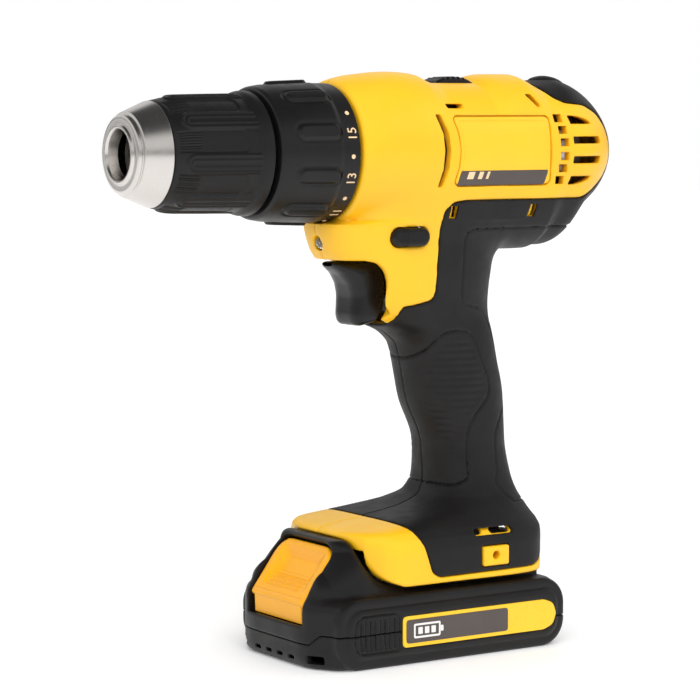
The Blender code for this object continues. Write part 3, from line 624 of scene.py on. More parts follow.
def grip_relief(x, y, z):
    """How far the grip stands above or below the smooth body."""
    to_patch, to_strap = patch(x, z), strap(x, z)
    lines = np.exp(-((to_patch / 0.5) ** 2)) + 0.8 * np.exp(-((to_strap / 0.45) ** 2))
    inside = np.clip(-(to_patch + 1.5) / 2.5, 0, 1) * np.clip((np.abs(y) - 9.0) / 3.0, 0, 1)
    inside = inside * np.clip((z - 73.0) / 3.0, 0, 1)
    across = (z + GROOVE_PITCH / 2) % GROOVE_PITCH - GROOVE_PITCH / 2
    grooves = 0.25 * inside * np.exp(-((across / 0.45) ** 2))
    oval = 1 - ((x - 71.0) / 7.5) ** 2 - (y / 6.0) ** 2
    rise = 1.2 * np.sqrt(np.clip(oval, 0, 1)) * (z > 205.0)
    return rise - grooves - 0.55 * lines


def grip_openings(x, y, z):
    slots = pill_field(x, z, 21.0, 47.5, 17.8, 2.6)
    rise = z - 169.8
    for u in GRIP_SLOTS:
        slots = np.minimum(slots, np.maximum(np.abs(x - u - 0.1 * rise) - 1.6, np.abs(rise) - 2.4))
    slots = np.maximum(slots, 8.0 - np.abs(y))
    channel = box_field(x, y, z, (-90.0, -26.0, 0.0), (62.0, 26.0, 43.4), 1.0)
    return np.minimum(np.minimum(slots, channel), boss_pocket(x, y, z))


def grip_field(side):
    def field(x, y, z):
        outer = body(x, y, z)
        shape = soft_max(outer - grip_relief(x, y, z), grip_region(x, z) + GAP / 2, 1.0)
        shape = np.maximum(shape, -(outer + SKIN))
        shape = soft_max(shape, -grip_openings(x, y, z), 0.5)
        if side > 0:
            shape = soft_max(shape, -screw_wells(x, y, z), 0.5)
        return soft_max(shape, SPLIT - side * y, 0.5)

    return field


def badge_field(x, y, z):
    """Both label panels, each with a fine groove inside its edge."""
    outer = body(x, y, z)
    edge = badge_region(x, z)
    groove = 0.25 * np.exp(-(((edge + 1.9) / 0.3) ** 2))
    shape = soft_max(outer + 0.1 + groove, edge + 0.35, 0.7)
    return np.maximum(np.maximum(shape, -(outer + SKIN)), 12.0 - np.abs(y))


def strip_field(x, y, z):
    outer = body(x, y, z)
    shape = soft_max(outer - 0.12, strip_region(x, z), 0.3)
    return np.maximum(np.maximum(shape, -(outer + 0.5)), 12.0 - np.abs(y))


def bars_field(x, y, z):
    """Three slanted bars on each dark strip."""
    outer = body(x, y, z)
    slant = x - 0.35 * (z - 183.8)
    bars = [np.abs(slant - middle) - width for middle, width in ((15.4, 1.5), (20.0, 1.0), (23.4, 0.6))]
    bars = np.minimum.reduce(bars)
    shape = np.maximum(np.maximum(outer - 0.22, -(outer + 0.3)), np.maximum(bars, np.abs(z - 183.8) - 1.4))
    return np.maximum(shape, 12.0 - np.abs(y))


def hook_boss_field(x, y, z):
    """Both belt-hook bosses, each with its screw hole."""
    low, high = (np.array(corner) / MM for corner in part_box("hook_boss_right"))
    block = box_field(x, np.abs(y), z, low, high, 0.9)
    hole = np.hypot(x - BOSS_HOLE[0], z - BOSS_HOLE[1]) - 1.6 - np.clip(np.abs(y) - high[1] + 0.5, 0, 0.5)
    return np.maximum(block, -hole)


# ---- Controls ----

TRIGGER_OUTLINE = (
    (-33.6, 151.4),
    (-33.0, 149.6),
    (-28.6, 146.2),
    (-25.8, 142.4),
    (-24.7, 138.3),
    (-24.9, 134.0),
    (-25.2, 130.0),
    (-24.2, 127.0),
    (-21.8, 126.4),
    (-16.0, 128.7),
    (-13.4, 132.4),
    (-12.1, 137.9),
    (-12.1, 144.4),
    (-13.6, 148.4),
    (-16.6, 151.4),
)
trigger_outline = Outline(TRIGGER_OUTLINE, 0.8)
TRIGGER_HEIGHT = 141.0
BOSS_HOLE = (21.0, 38.4)


def trigger_field(x, y, z):
    edge = np.interp(x, (-29.0, -16.0), (8.5, 1.6))
    shape = soft_max(trigger_outline(x, z), np.abs(y) - 9.7, edge)
    tube = np.hypot(y, z - TRIGGER_HEIGHT)
    shape = np.maximum(shape, -np.maximum(tube - 7.5, -21.5 - x))
    stem = box_field(x, y, z, (-22.5, -3.6, TRIGGER_HEIGHT - 3.6), (-6.5, 3.6, TRIGGER_HEIGHT + 3.6), 0.3)
    return np.minimum(shape, stem)


def button_field(x, y, z):
    """The direction button: each end has a dished front third."""
    low, high = span("direction_button", 1)
    dish = 1.3 * np.clip((BUTTON[0] - 1.8 - x) / 2.2, 0, 1)
    ends = np.maximum(y - high + dish, low + dish - y)
    return soft_max(pill_field(x, z, BUTTON[0], BUTTON[2], 16.5, 7.2), ends, 1.6)


def selector_field(x, y, z):
    """The speed selector: a slider with an arched, ribbed top, and the fork under it."""
    slider = box_field(x, y, z, (14.6, -6.9, 217.1), (30.4, 6.9, 219.5), 0.5)
    arch = 219.0 + 2.5 * np.sqrt(np.clip(1 - ((x - 22.4) / 8.4) ** 2, 0, 1))
    ribs = 0.25 * np.cos(2 * math.pi * (x - 22.4) / 2.4) * (np.abs(x - 22.4) < 5.0)
    top = soft_max((z - arch - ribs) * 0.8, np.abs(y) - 6.2, 1.6)
    top = np.maximum(top, 218.0 - z)
    fork = box_field(x, y, z, (15.0, -5.4, AXIS + 20.6), (19.0, 5.4, 218.0), 0.3)
    return np.minimum(np.minimum(slider, top), fork)


def screw_field(number):
    """A housing screw with a six-pointed recess in its head."""
    node = f"housing_screw_{number}"
    u, _, v = centre_of(node)
    tip, top = span(node, 1)

    def field(x, y, z):
        radius, angle = np.hypot(x - u, z - v), np.arctan2(z - v, x - u)
        head = soft_max(np.maximum(radius - 3.0, top - 1.7 - y), y - top + 0.05 * radius**2, 0.5)
        recess = np.maximum(radius - 1.45 - 0.22 * np.cos(6 * angle), top - 1.2 - y)
        shank = np.maximum(radius - 1.4, np.maximum(tip - y, y - top + 1.0))
        return np.minimum(np.maximum(head, -recess), shank)

    return field


# ---- Battery pack ----

PACK_PLAN = (
    (-57.2, 0.0),
    (-57.0, 18.0),
    (-56.0, 23.4),
    (-49.6, 33.0),
    (-46.0, 34.4),
    (47.6, 34.2),
    (52.1, 32.4),
    (54.2, 28.0),
    (54.2, 0.0),
    (54.2, -40.0),
    (-57.2, -40.0),
)
HUMP = (
    (-57.2, 10.0),
    (-57.6, 22.0),
    (-54.8, 28.0),
    (-44.2, 44.6),
    (-41.4, 46.9),
    (-37.2, 47.2),
    (-35.9, 46.0),
    (-34.5, 42.4),
    (-32.8, 37.7),
    (-29.9, 33.4),
    (-26.0, 31.0),
    (-20.6, 29.5),
    (-10.0, 25.0),
    (-10.0, 12.0),
)
LABEL = ((-22.4, 7.0), (-22.4, 18.9), (44.0, 18.9), (48.3, 17.2), (49.9, 13.0), (48.3, 8.7), (44.0, 7.0))
LABEL_BLOCK = ((-20.9, 8.5), (-20.9, 17.5), (26.4, 17.5), (26.4, 8.5))
RIB_PATCH = (
    (-40.5, 6.3),
    (-42.9, 8.0),
    (-43.6, 11.0),
    (-43.6, 16.0),
    (-42.9, 18.8),
    (-40.5, 20.6),
    (-23.8, 20.6),
    (-23.8, 6.3),
)
PANEL_TOP = 27.0
PANEL_ENDS = (-50.6, 55.2)
PACK_WALL = 2.0
LABEL_FACE = 36.4
BUTTON_FOOT = np.array((-56.2, 24.2))
BUTTON_SLOPE = np.array((15.0, 20.2)) / math.hypot(15.0, 20.2)
BUTTON_LENGTH = 25.2
BUTTON_HALF_WIDTH = 19.0

pack_plan = Outline(PACK_PLAN, 1.5, ((-70.0, -15.0), (70.0, 50.0)))
hump_outline = Outline(HUMP, 0.9, ((-70.0, 0.0), (5.0, 60.0)))
label_outline = Outline(LABEL, 0.9)
block_outline = Outline(LABEL_BLOCK, 0.6)
rib_patch = Outline(RIB_PATCH, 0.9, ((-60.0, 0.0), (60.0, 30.0)))


def stadium_field(x, z, inset):
    """The outline of the side panel, drawn in by inset."""
    middle = sum(PANEL_ENDS) / 2
    u = np.abs(x - middle) - (PANEL_ENDS[1] - PANEL_ENDS[0]) / 2 + 10.5
    v = np.abs(z - PANEL_TOP / 2) - PANEL_TOP / 2 + 10.5
    corner = np.hypot(np.maximum(u, 0), np.maximum(v, 0)) + np.minimum(np.maximum(u, v), 0.0)
    return corner - 10.5 + inset


def on_button(x, z):
    """Place along the release button's sloping front, and depth behind it."""
    u, v = x - BUTTON_FOOT[0], z - BUTTON_FOOT[1]
    return u * BUTTON_SLOPE[0] + v * BUTTON_SLOPE[1], u * BUTTON_SLOPE[1] - v * BUTTON_SLOPE[0]


def button_pocket(x, y, z):
    along, depth = on_button(x, z)
    wide = np.abs(y) - BUTTON_HALF_WIDTH - 0.6
    corner = soft_max(wide, along - BUTTON_LENGTH - 0.6, 8.0)
    slot = np.maximum(np.maximum(corner, -4.2 - along), depth - 7.8)
    back = box_field(x, y, z, (-62.0, -16.0, 34.0), (-37.6, 16.0, 45.2), 1.2)
    back = soft_max(back, corner, 1.0)
    front = box_field(x, y, z, (-70.0, -40.0, 16.2), (-52.6, 40.0, 26.0), 0.5)
    behind_lip = box_field(x, y, z, (-55.9, -40.0, 11.9), (-52.6, 40.0, 26.0), 0.2)
    travel = soft_max(np.minimum(front, behind_lip), wide, 1.2)
    return np.minimum(np.minimum(slot, back), travel)


def pack_surface(x, y, z):
    """The pack's outer surface: core, side panels in two steps, and the hump that fills the hood."""
    a = np.abs(y)
    core = soft_max(pack_plan(x, a), np.maximum(-z, z - 26.4), 5.0)
    core = soft_max(core, (-x - z * 0.5 - 56.8) * 0.89, 2.0)
    panel = soft_max(stadium_field(x, z, 0.0), a - 35.3, 2.4)
    raised = soft_max(stadium_field(x, z, 3.4), a - 36.5, 3.2)
    whole = soft_min(core, np.minimum(panel, raised), 0.6)
    width = np.interp(z, (12.0, 26.0, 34.0, 42.0, 48.0), (35.0, 33.4, 30.4, 26.4, 22.0))
    taper = np.interp(x, (-58.5, -56.4, -52.0, -46.0, -36.0), (17.0, 21.4, 25.2, 28.4, 33.0))
    hump = soft_max(hump_outline(x, z), (a - width) * 0.92, 5.0)
    hump = soft_max(hump, (a - taper) * 0.8, 5.0)
    crown = np.interp(x, (-48.0, -44.5, -41.0, -37.0, -33.0), (13.0, 18.0, 22.5, 26.5, 30.0))
    crown = crown + np.interp(z, (22.0, 43.0), (26.0, -1.0))
    hump = soft_max(hump, (a - crown) * 0.7, 4.0)
    whole = soft_min(whole, hump, 2.0)
    return soft_max(whole, -button_pocket(x, y, z), 0.9)


def pack_relief(x, y, z):
    """Ribbed patch, label seat and the fine lines of the pack's sides, as depth below the smooth surface."""
    patch_edge = rib_patch(x, z)
    inside = np.clip(-(patch_edge + 0.9) / 0.5, 0, 1)
    ribs = inside * (0.2 + 0.28 * np.cos(2 * math.pi * x / 2.15))
    seat = 0.35 * np.clip(-(label_outline(x, z) - 0.35) / 0.3, 0, 1)
    depth = 0.55 * np.exp(-((patch_edge / 0.45) ** 2)) + ribs + seat
    return np.where(np.abs(y) > 30.0, depth, 0.0)


def pack_seam(x, y):
    """Height of the seam between case and cover."""
    a = np.abs(y)
    front = np.clip((a - 23.0) / 4.0, 0, 1)
    side = np.interp(x, (-30.0, 20.0, 54.0), (13.4, 13.4, 11.6))
    return 9.6 * (1 - front) + side * front


def front_slots(x, y, z):
    """Four small slots low on the front and a screw recess at each front corner."""
    slots = [box_field(x, y, z, (-62.0, m - 1.9, 2.9), (-51.0, m + 1.9, 4.3), 0.3) for m in (-12, -4, 4, 12)]
    recess = box_field(x, np.abs(y), z, (-62.0, 21.6, 2.6), (-49.6, 28.4, 5.6), 0.8)
    return np.minimum.reduce([*slots, recess])


def case_field(x, y, z):
    surface = pack_surface(x, y, z)
    shape = np.maximum(surface + pack_relief(x, y, z), -(surface + PACK_WALL))
    shape = soft_max(shape, z - pack_seam(x, y) + 0.15, 0.5)
    return soft_max(shape, -front_slots(x, y, z), 0.4)


def cover_field(x, y, z):
    surface = pack_surface(x, y, z)
    rails = box_field(x, y, z, (-30.0, -24.3, 24.0), (50.0, 24.3, 42.4), 1.2)
    grooves = box_field(x, np.abs(y), z, (20.0, 21.5, 29.0), (70.0, 30.0, 32.0), 0.3)
    contacts = [box_field(x, y, z, (8.0, m - 1.4, 34.0), (70.0, m + 1.4, 50.0), 0.2) for m in (-12, 0, 12)]
    rails = np.maximum(np.maximum(rails, -grooves), -np.minimum.reduce(contacts))
    shape = np.maximum(surface + pack_relief(x, y, z), -(surface + PACK_WALL))
    shape = soft_max(shape, pack_seam(x, y) + 0.15 - z, 0.5)
    catch = box_field(x, y, z, (44.5, -9.0, 25.0), (49.5, 9.0, 27.6), 0.7)
    return np.minimum(np.minimum(shape, soft_max(rails, -button_pocket(x, y, z), 0.5)), catch)


def label_field(x, y, z):
    return soft_max(label_outline(x, z), np.abs(np.abs(y) - LABEL_FACE + 0.15) - 0.2, 0.25)


def block_field(x, y, z):
    return np.maximum(block_outline(x, z), np.abs(np.abs(y) - LABEL_FACE - 0.02) - 0.2)


def charge_field(x, y, z):
    """A plain battery sign: a frame, its tip and three bars."""
    frame_edge = box_field(x, 0 * y, z, (-17.6, -9, 10.2), (-5.4, 9, 15.8), 0.7)
    shape = np.maximum(frame_edge, -(frame_edge + 0.75))
    shape = np.minimum(shape, box_field(x, 0 * y, z, (-5.3, -9, 11.9), (-4.1, 9, 14.1), 0.2))
    for middle in (-14.6, -11.6, -8.6):
        bar = box_field(x, 0 * y, z, (middle - 1.0, -9, 11.7), (middle + 1.0, 9, 14.3), 0.2)
        shape = np.minimum(shape, bar)
    return np.maximum(shape, np.abs(np.abs(y) - LABEL_FACE - 0.2) - 0.15)


def release_field(x, y, z):
    """The release button: a scooped face with ridges, a rounded lip and a tab that hangs from it."""
    along, depth = on_button(x, z)
    a = np.abs(y)
    scoop = soft_min((along - 3.4) * 0.3, (22.4 - along) * 0.7, 2.5)
    scoop = np.clip(soft_min(scoop, (15.2 - a) * 0.7, 2.0), 0, 2.8)
    ridges = 0.3 * np.cos(2 * math.pi * along / 2.0) * np.clip((12.0 - a) / 1.5, 0, 1)
    ridges = ridges * np.clip((along - 3.6) / 1.5, 0, 1) * np.clip((12.2 - along) / 1.5, 0, 1)
    face = (scoop - ridges - depth) * 0.9
    plan = soft_max(soft_max(a - BUTTON_HALF_WIDTH, along - BUTTON_LENGTH, 8.0), -0.4 - along, 1.4)
    shell = soft_max(np.maximum(plan, depth - 4.6), face, 1.4)
    back = soft_max(box_field(x, y, z, (-45.0, -15.2, 38.3), (-38.1, 15.2, 44.4), 0.8), face, 1.0)
    tab = soft_max(a - 17.0, np.abs(x + 54.2 + 0.05 * (z - 16.0)) - 1.1, 0.8)
    tab = np.maximum(tab, np.maximum(16.5 - z, z - 26.0))
    return np.minimum(np.minimum(shell, soft_max(back, plan, 0.8)), tab)


# ---- Turned pieces ----


def filleted(corners, finest, from_radius):
    """A closed outline through (x, radius, rounding), with long runs divided where the surface has relief."""
    points = []
    for k, (u, v, rounding) in enumerate(corners):
        here = np.array((u, v))
        before = np.array(corners[k - 1][:2]) - here
        after = np.array(corners[(k + 1) % len(corners)][:2]) - here
        start = here + before * min(0.5, rounding / np.linalg.norm(before))
        end = here + after * min(0.5, rounding / np.linalg.norm(after))
        for t in np.linspace(0, 1, 7) if rounding else (0.0,):
            points.append((1 - t) ** 2 * start + 2 * t * (1 - t) * here + t * t * end)
    dense = []
    for point, following in zip(points, points[1:] + points[:1]):
        long_run = min(point[1], following[1]) >= from_radius
        parts = math.ceil(np.linalg.norm(following - point) / (finest * COARSE)) if long_run else 1
        dense += [point + (following - point) * j / max(parts, 1) for j in range(max(parts, 1))]
    return np.array(dense)


def turned(name, corners, segments, relief=None, finest=0.4, from_radius=1e9, middle=AXIS, sharp=40):
    """A turned piece round an axis along X. Angles start at the left side and rise upwards."""
    outline = filleted(corners, finest, from_radius)
    angle = 2 * math.pi * np.arange(segments)[None, :] / segments
    x = np.repeat(outline[:, :1], segments, axis=1)
    radius = np.repeat(outline[:, 1:], segments, axis=1)
    if relief:
        radius = radius + np.where(radius >= from_radius, relief(x, angle), 0.0)
    points = np.stack((x, -radius * np.cos(angle), middle + radius * np.sin(angle)), axis=-1).reshape(-1, 3)
    index = np.arange(len(points)).reshape(x.shape)
    ahead = np.roll(index, -1, 0)
    faces = np.stack((index, ahead, np.roll(ahead, -1, 1), np.roll(index, -1, 1)), axis=-1).reshape(-1, 4)
    piece = mesh_object(name, points, faces)
    piece.data.set_sharp_from_angle(angle=math.radians(sharp))
    return piece


def nearest_turn(angle, first, count):
    """Angle to the nearest of count equally spaced places, the first at the angle first in degrees."""
    pitch = 2 * math.pi / count
    return (angle - math.radians(first) + pitch / 2) % pitch - pitch / 2


def smooth_step(value):
    t = np.clip(value, 0, 1)
    return t * t * (3 - 2 * t)


SLEEVE = (
    (-109.0, 18.1, 0),
    (-109.0, 19.2, 0.3),
    (-108.2, 19.8, 0.5),
    (-104.5, 20.6, 2.0),
    (-101.2, 21.1, 2.0),
    (-87.8, 21.4, 4.0),
    (-74.6, 21.6, 1.2),
    (-72.4, 23.2, 1.2),
    (-69.3, 23.4, 0.5),
    (-69.3, 14.1, 0),
    (-71.7, 14.1, 0),
    (-71.7, 19.5, 0),
    (-98.6, 19.5, 0),
    (-98.6, 18.1, 0),
)
SLEEVE_RIBS = 8
SLEEVE_RADIUS = 21.2
COLLAR = (
    (-67.4, 14.2, 0),
    (-67.4, 24.1, 0.6),
    (-66.4, 24.9, 0.8),
    (-62.1, 25.6, 2.0),
    (-57.8, 26.1, 3.0),
    (-43.0, 26.7, 0.8),
    (-41.4, 26.2, 0.6),
    (-34.3, 26.2, 0.3),
    (-34.3, 22.4, 0),
    (-64.4, 22.0, 0),
    (-64.4, 14.2, 0),
)
COLLAR_RIBS = 10
NOSE = (
    (-117.6, 8.4, 0),
    (-121.4, 9.3, 0.3),
    (-122.2, 9.7, 0.2),
    (-122.2, 10.5, 0.2),
    (-121.2, 11.1, 0.3),
    (-121.3, 13.6, 0.5),
    (-120.9, 14.4, 0.4),
    (-120.1, 14.8, 0.2),
    (-119.7, 14.5, 0.1),
    (-119.4, 14.7, 0.1),
    (-119.1, 15.7, 0.3),
    (-109.5, 19.6, 0.3),
    (-109.4, 19.2, 0),
    (-109.4, 17.8, 0),
    (-100.4, 17.8, 0),
    (-100.4, 15.9, 0),
    (-112.0, 15.9, 0),
    (-117.4, 12.9, 0),
)
LENS_SHAPE = ((0.0, 0.05, 0), (0.0, 1.6, 0.6), (1.2, 2.4, 0.6), (4.9, 2.5, 0.2), (4.9, 0.05, 0))


def sleeve_relief(x, angle):
    """Ribs with fine ridges that run round their front ends, and sunk pads with serrations between them."""
    off = nearest_turn(angle, -9.0, SLEEVE_RIBS) * SLEEVE_RADIUS
    reach = np.hypot(np.maximum(-101.4 - x, 0.0), off)
    fade = smooth_step((-73.8 - x) / 1.2)
    ridges = 0.38 * sum(np.exp(-(((reach - place) / 0.42) ** 2)) for place in (1.25, 3.0))
    rib = 0.3 * smooth_step((4.0 - reach) / 0.6)
    pad_off = np.abs(nearest_turn(angle, 13.5, SLEEVE_RIBS) * SLEEVE_RADIUS)
    corner = np.hypot(np.maximum(pad_off - 1.4, 0), np.maximum(x + 81.3, 0)) - 3.0
    pad = smooth_step(-corner / 0.5) * smooth_step((x + 108.4) / 2.0)
    serrated = smooth_step(x + 107.6) * smooth_step(-98.0 - x) * smooth_step((4.2 - pad_off) / 0.6)
    lines = 0.14 * np.cos(2 * math.pi * pad_off / 1.05) * serrated
    grain = 0.035 * np.cos(2 * math.pi * pad_off / 0.7) * pad
    return ridges * fade + rib * fade - 0.42 * pad + lines + grain


def collar_relief(x, angle):
    """Raised grip ribs with rounded ends, each in a shallow surround."""
    off = nearest_turn(angle, 18.0, COLLAR_RIBS) * 26.4
    edge = pill_field(x, off, -51.4, 0.0, 17.4, 5.3)
    top = 0.8 * smooth_step((0.3 - edge) / 1.0)
    surround = -0.35 * np.exp(-(((edge - 0.9) / 0.6) ** 2))
    strokes = 0.03 * np.cos(2 * math.pi * x / 0.9) * smooth_step(-edge - 0.6)
    return np.where(x < -41.6, top + surround + strokes, 0.0)


def dial_marks():
    """The dial's odd numbers, with a dot for each even one, wrapped round the collar's rear band."""
    shape = bmesh.new()
    for number in range(1, 17):
        middle = math.radians(16.0 - (15 - number) * 18.6)
        if number % 2:
            letters = bpy.data.curves.new("letters", "FONT")
            letters.body = str(number)
            letters.align_x = "CENTER"
            letters.extrude = 0.05
            holder = bpy.data.objects.new("letters", letters)
            bpy.context.scene.collection.objects.link(holder)
            graph = bpy.context.evaluated_depsgraph_get()
            flat = bpy.data.meshes.new_from_object(holder.evaluated_get(graph))
            bpy.data.objects.remove(holder)
            size = 3.7 / (max(v.co.y for v in flat.vertices) - min(v.co.y for v in flat.vertices))
            wrap_mark(shape, flat, size, middle)
        else:
            dot = bmesh.new()
            bmesh.ops.create_cone(dot, segments=20, radius1=0.85, radius2=0.85, depth=0.12, cap_ends=True)
            bmesh.ops.translate(dot, verts=dot.verts, vec=(0, 1.85, 0))
            flat = bpy.data.meshes.new("dot")
            dot.to_mesh(flat)
            wrap_mark(shape, flat, 1.0, middle)
    mesh = bpy.data.meshes.new("dial_marks")
    shape.to_mesh(mesh)
    made = bpy.data.objects.new("dial_marks", mesh)
    bpy.context.scene.collection.objects.link(made)
    return made


def wrap_mark(shape, flat, size, middle):
    """Adds a flat sign to shape, bent round the spindle's axis at the angle middle."""
    for vertex in flat.vertices:
        across, up, above = vertex.co
        angle = middle + across * size / 26.2
        radius = 26.26 + (0.09 if above > 0 else -0.12)
        x = -35.7 - up * size
        vertex.co = (x * MM, -radius * math.cos(angle) * MM, (AXIS + radius * math.sin(angle)) * MM)
    shape.from_mesh(flat)


# ---- Materials, with sizes of grain in millimetres ----


def noise(tree, sizes, detail=2.0, roughness=0.5):
    """Noise in the object's own space whose features have about these sizes along x, y and z."""
    place = tree.nodes.new("ShaderNodeTexCoord")
    spread = tree.nodes.new("ShaderNodeMapping")
    spread.inputs["Scale"].default_value = [1 / (MM * size) for size in sizes]
    texture = tree.nodes.new("ShaderNodeTexNoise")
    texture.inputs["Scale"].default_value = 1.0
    texture.inputs["Detail"].default_value = detail
    texture.inputs["Roughness"].default_value = roughness
    tree.links.new(place.outputs["Object"], spread.inputs["Vector"])
    tree.links.new(spread.outputs["Vector"], texture.inputs["Vector"])
    return texture.outputs["Fac"]


def ramp(tree, source, low, high, first, last):
    """Colours from first to last as source goes from low to high."""
    blend = tree.nodes.new("ShaderNodeValToRGB")
    for stop, position, colour in zip(blend.color_ramp.elements, (low, high), (first, last)):
        stop.position = position
        stop.color = (*colour, 1)
    tree.links.new(source, blend.inputs["Fac"])
    return blend.outputs["Color"]


def spread_value(tree, source, low, high):
    """Turns noise around one half into a value from low to high."""
    change = tree.nodes.new("ShaderNodeMapRange")
    change.inputs["From Min"].default_value = 0.3
    change.inputs["From Max"].default_value = 0.7
    change.inputs["To Min"].default_value = low
    change.inputs["To Max"].default_value = high
    tree.links.new(source, change.inputs["Value"])
    return change.outputs["Result"]


FINE_GRAIN = (0.5, 0.5, 0.5)  # size of the relief along x, y and z, in millimetres


def surface(
    name,
    colour,
    roughness,
    grain,
    strength,
    metallic=0.0,
    blotch=0.05,
    rough_change=0.05,
    depth=0.04,
    gloss=0.5,
):
    """A material whose tone, roughness and fine relief all vary over the surface."""
    made = bpy.data.materials.new(name)
    made.use_nodes = True
    tree = made.node_tree
    shader = tree.nodes["Principled BSDF"]
    shader.inputs["Metallic"].default_value = metallic
    shader.inputs["Specular IOR Level"].default_value = gloss
    darker = [part * (1 - blotch) for part in colour]
    lighter = [min(part * (1 + blotch), 1.0) for part in colour]
    tone = ramp(tree, noise(tree, (16.0, 16.0, 16.0), 3.0), 0.35, 0.65, darker, lighter)
    tree.links.new(tone, shader.inputs["Base Color"])
    wear = noise(tree, (5.0, 5.0, 5.0), 4.0)
    worn = spread_value(tree, wear, roughness - rough_change, roughness + rough_change)
    tree.links.new(worn, shader.inputs["Roughness"])
    bump = tree.nodes.new("ShaderNodeBump")
    bump.inputs["Strength"].default_value = strength
    bump.inputs["Distance"].default_value = depth * MM
    tree.links.new(noise(tree, grain, 2.0), bump.inputs["Height"])
    tree.links.new(bump.outputs["Normal"], shader.inputs["Normal"])
    return made


def yellow_plastic():
    return surface("yellow_plastic", (0.92, 0.505, 0.011), 0.38, FINE_GRAIN, 0.25, blotch=0.02, depth=0.02)


def badge_plastic():
    return surface("badge_plastic", (0.93, 0.53, 0.02), 0.34, FINE_GRAIN, 0.12, blotch=0.02, depth=0.02)


def button_plastic():
    return surface("button_plastic", (0.92, 0.41, 0.003), 0.34, FINE_GRAIN, 0.2, blotch=0.02, depth=0.02)


def black_plastic():
    colour, grain = (0.008, 0.0074, 0.0076), (0.45, 0.45, 0.45)
    return surface("black_plastic", colour, 0.42, grain, 0.3, blotch=0.12, gloss=0.3)


def dial_plastic():
    colour, grain = (0.007, 0.0066, 0.0067), (0.6, 0.6, 0.6)
    return surface("dial_plastic", colour, 0.38, grain, 0.2, blotch=0.12, gloss=0.32)


def grip_rubber():
    colour, grain = (0.009, 0.0083, 0.0085), (0.38, 0.38, 0.38)
    return surface("grip_rubber", colour, 0.52, grain, 0.5, blotch=0.15, depth=0.05, gloss=0.28)


def trigger_plastic():
    colour = (0.004, 0.0038, 0.0038)
    return surface("trigger_plastic", colour, 0.3, FINE_GRAIN, 0.15, blotch=0.1, gloss=0.35)


def grey_plastic():
    return surface("grey_plastic", (0.16, 0.16, 0.165), 0.5, (0.4, 0.4, 0.4), 0.3, blotch=0.08)


def strip_plastic():
    return surface("strip_plastic", (0.075, 0.06, 0.055), 0.4, (0.4, 0.4, 0.4), 0.1, blotch=0.06)


def label_film():
    return surface("label_film", (0.92, 0.55, 0.02), 0.3, (1.5, 1.5, 1.5), 0.05, blotch=0.03)


def printed_cream():
    return surface("printed_cream", (0.85, 0.6, 0.36), 0.5, (0.4, 0.4, 0.4), 0.15, blotch=0.05)


def printed_white():
    return surface("printed_white", (0.8, 0.79, 0.76), 0.4, (0.4, 0.4, 0.4), 0.1, blotch=0.03)


def brushed_steel():
    """Turned steel: fine rings round the spindle's axis."""
    colour, grain = (0.68, 0.65, 0.62), (0.12, 40.0, 40.0)
    return surface("brushed_steel", colour, 0.25, grain, 0.18, 1.0, 0.01, rough_change=0.03, depth=0.008)


def dark_steel():
    return surface("dark_steel", (0.2, 0.2, 0.205), 0.36, (0.3, 0.3, 0.3), 0.3, 1.0, 0.1)


def plain_steel():
    return surface("plain_steel", (0.55, 0.54, 0.52), 0.3, (0.15, 4.0, 4.0), 0.3, 1.0, 0.06, depth=0.015)


def copper_winding():
    """Enamelled wire laid round the armature."""
    return surface("copper_winding", (0.7, 0.3, 0.14), 0.3, (5.0, 0.35, 0.35), 0.8, 1.0, 0.12, depth=0.12)


def cell_wrap():
    return surface("cell_wrap", (0.02, 0.12, 0.32), 0.28, (0.8, 3.0, 0.8), 0.15, blotch=0.06)


def board_green():
    return surface("board_green", (0.012, 0.12, 0.03), 0.4, (0.7, 0.7, 0.3), 0.3, blotch=0.2)


def lens_plastic():
    """Clear moulding with faint ripples."""
    colour, grain = (0.97, 0.96, 0.93), (0.8, 0.8, 0.8)
    made = surface("lens_plastic", colour, 0.06, grain, 0.1, blotch=0.01, rough_change=0.02)
    shader = made.node_tree.nodes["Principled BSDF"]
    shader.inputs["Transmission Weight"].default_value = 0.85
    shader.inputs["IOR"].default_value = 1.46
    return made


# ---- Assembly ----


def place(piece, rides, slot, replaced, look):
    """Puts a finished piece on its body, in place of its CAD nodes, with its material."""
    piece.data.materials.clear()
    piece.data.materials.append(look)
    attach(piece, rides)
    if replaced:
        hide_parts(*replaced)
    return piece


def around(*nodes):
    """Lowest and highest corner of some CAD nodes together, in millimetres."""
    boxes = [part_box(node) for node in nodes]
    low = [min(box[0][k] for box in boxes) / MM for k in range(3)]
    high = [max(box[1][k] for box in boxes) / MM for k in range(3)]
    return low, high


def build_housing(yellow, rubber):
    for side, word in ((-1, "left"), (1, "right")):
        node = f"housing_{word}"
        shell = moulded(f"{word}_shell", housing_field(side), *around(node), 0.8)
        place(shell, "housing", "yellow_shell", [node], yellow)
        node = f"grip_{word}"
        skin = moulded(f"{word}_grip_skin", grip_field(side), *around(node), 0.62)
        place(skin, "housing", "grip_rubber", [node], rubber)


def build_badges(badge, strip, cream):
    low, high = around("badge_left", "badge_right")
    plates = moulded("side_panels", badge_field, low, high, 0.4)
    place(plates, "housing", "yellow_shell", ["badge_left", "badge_right"], badge)
    low, high = (5.0, -30.0, 178.0), (56.0, 30.0, 189.0)
    place(moulded("side_strips", strip_field, low, high, 0.33), "housing", "black_shell", [], strip)
    place(moulded("strip_bars", bars_field, low, high, 0.25), "housing", "yellow_shell", [], cream)


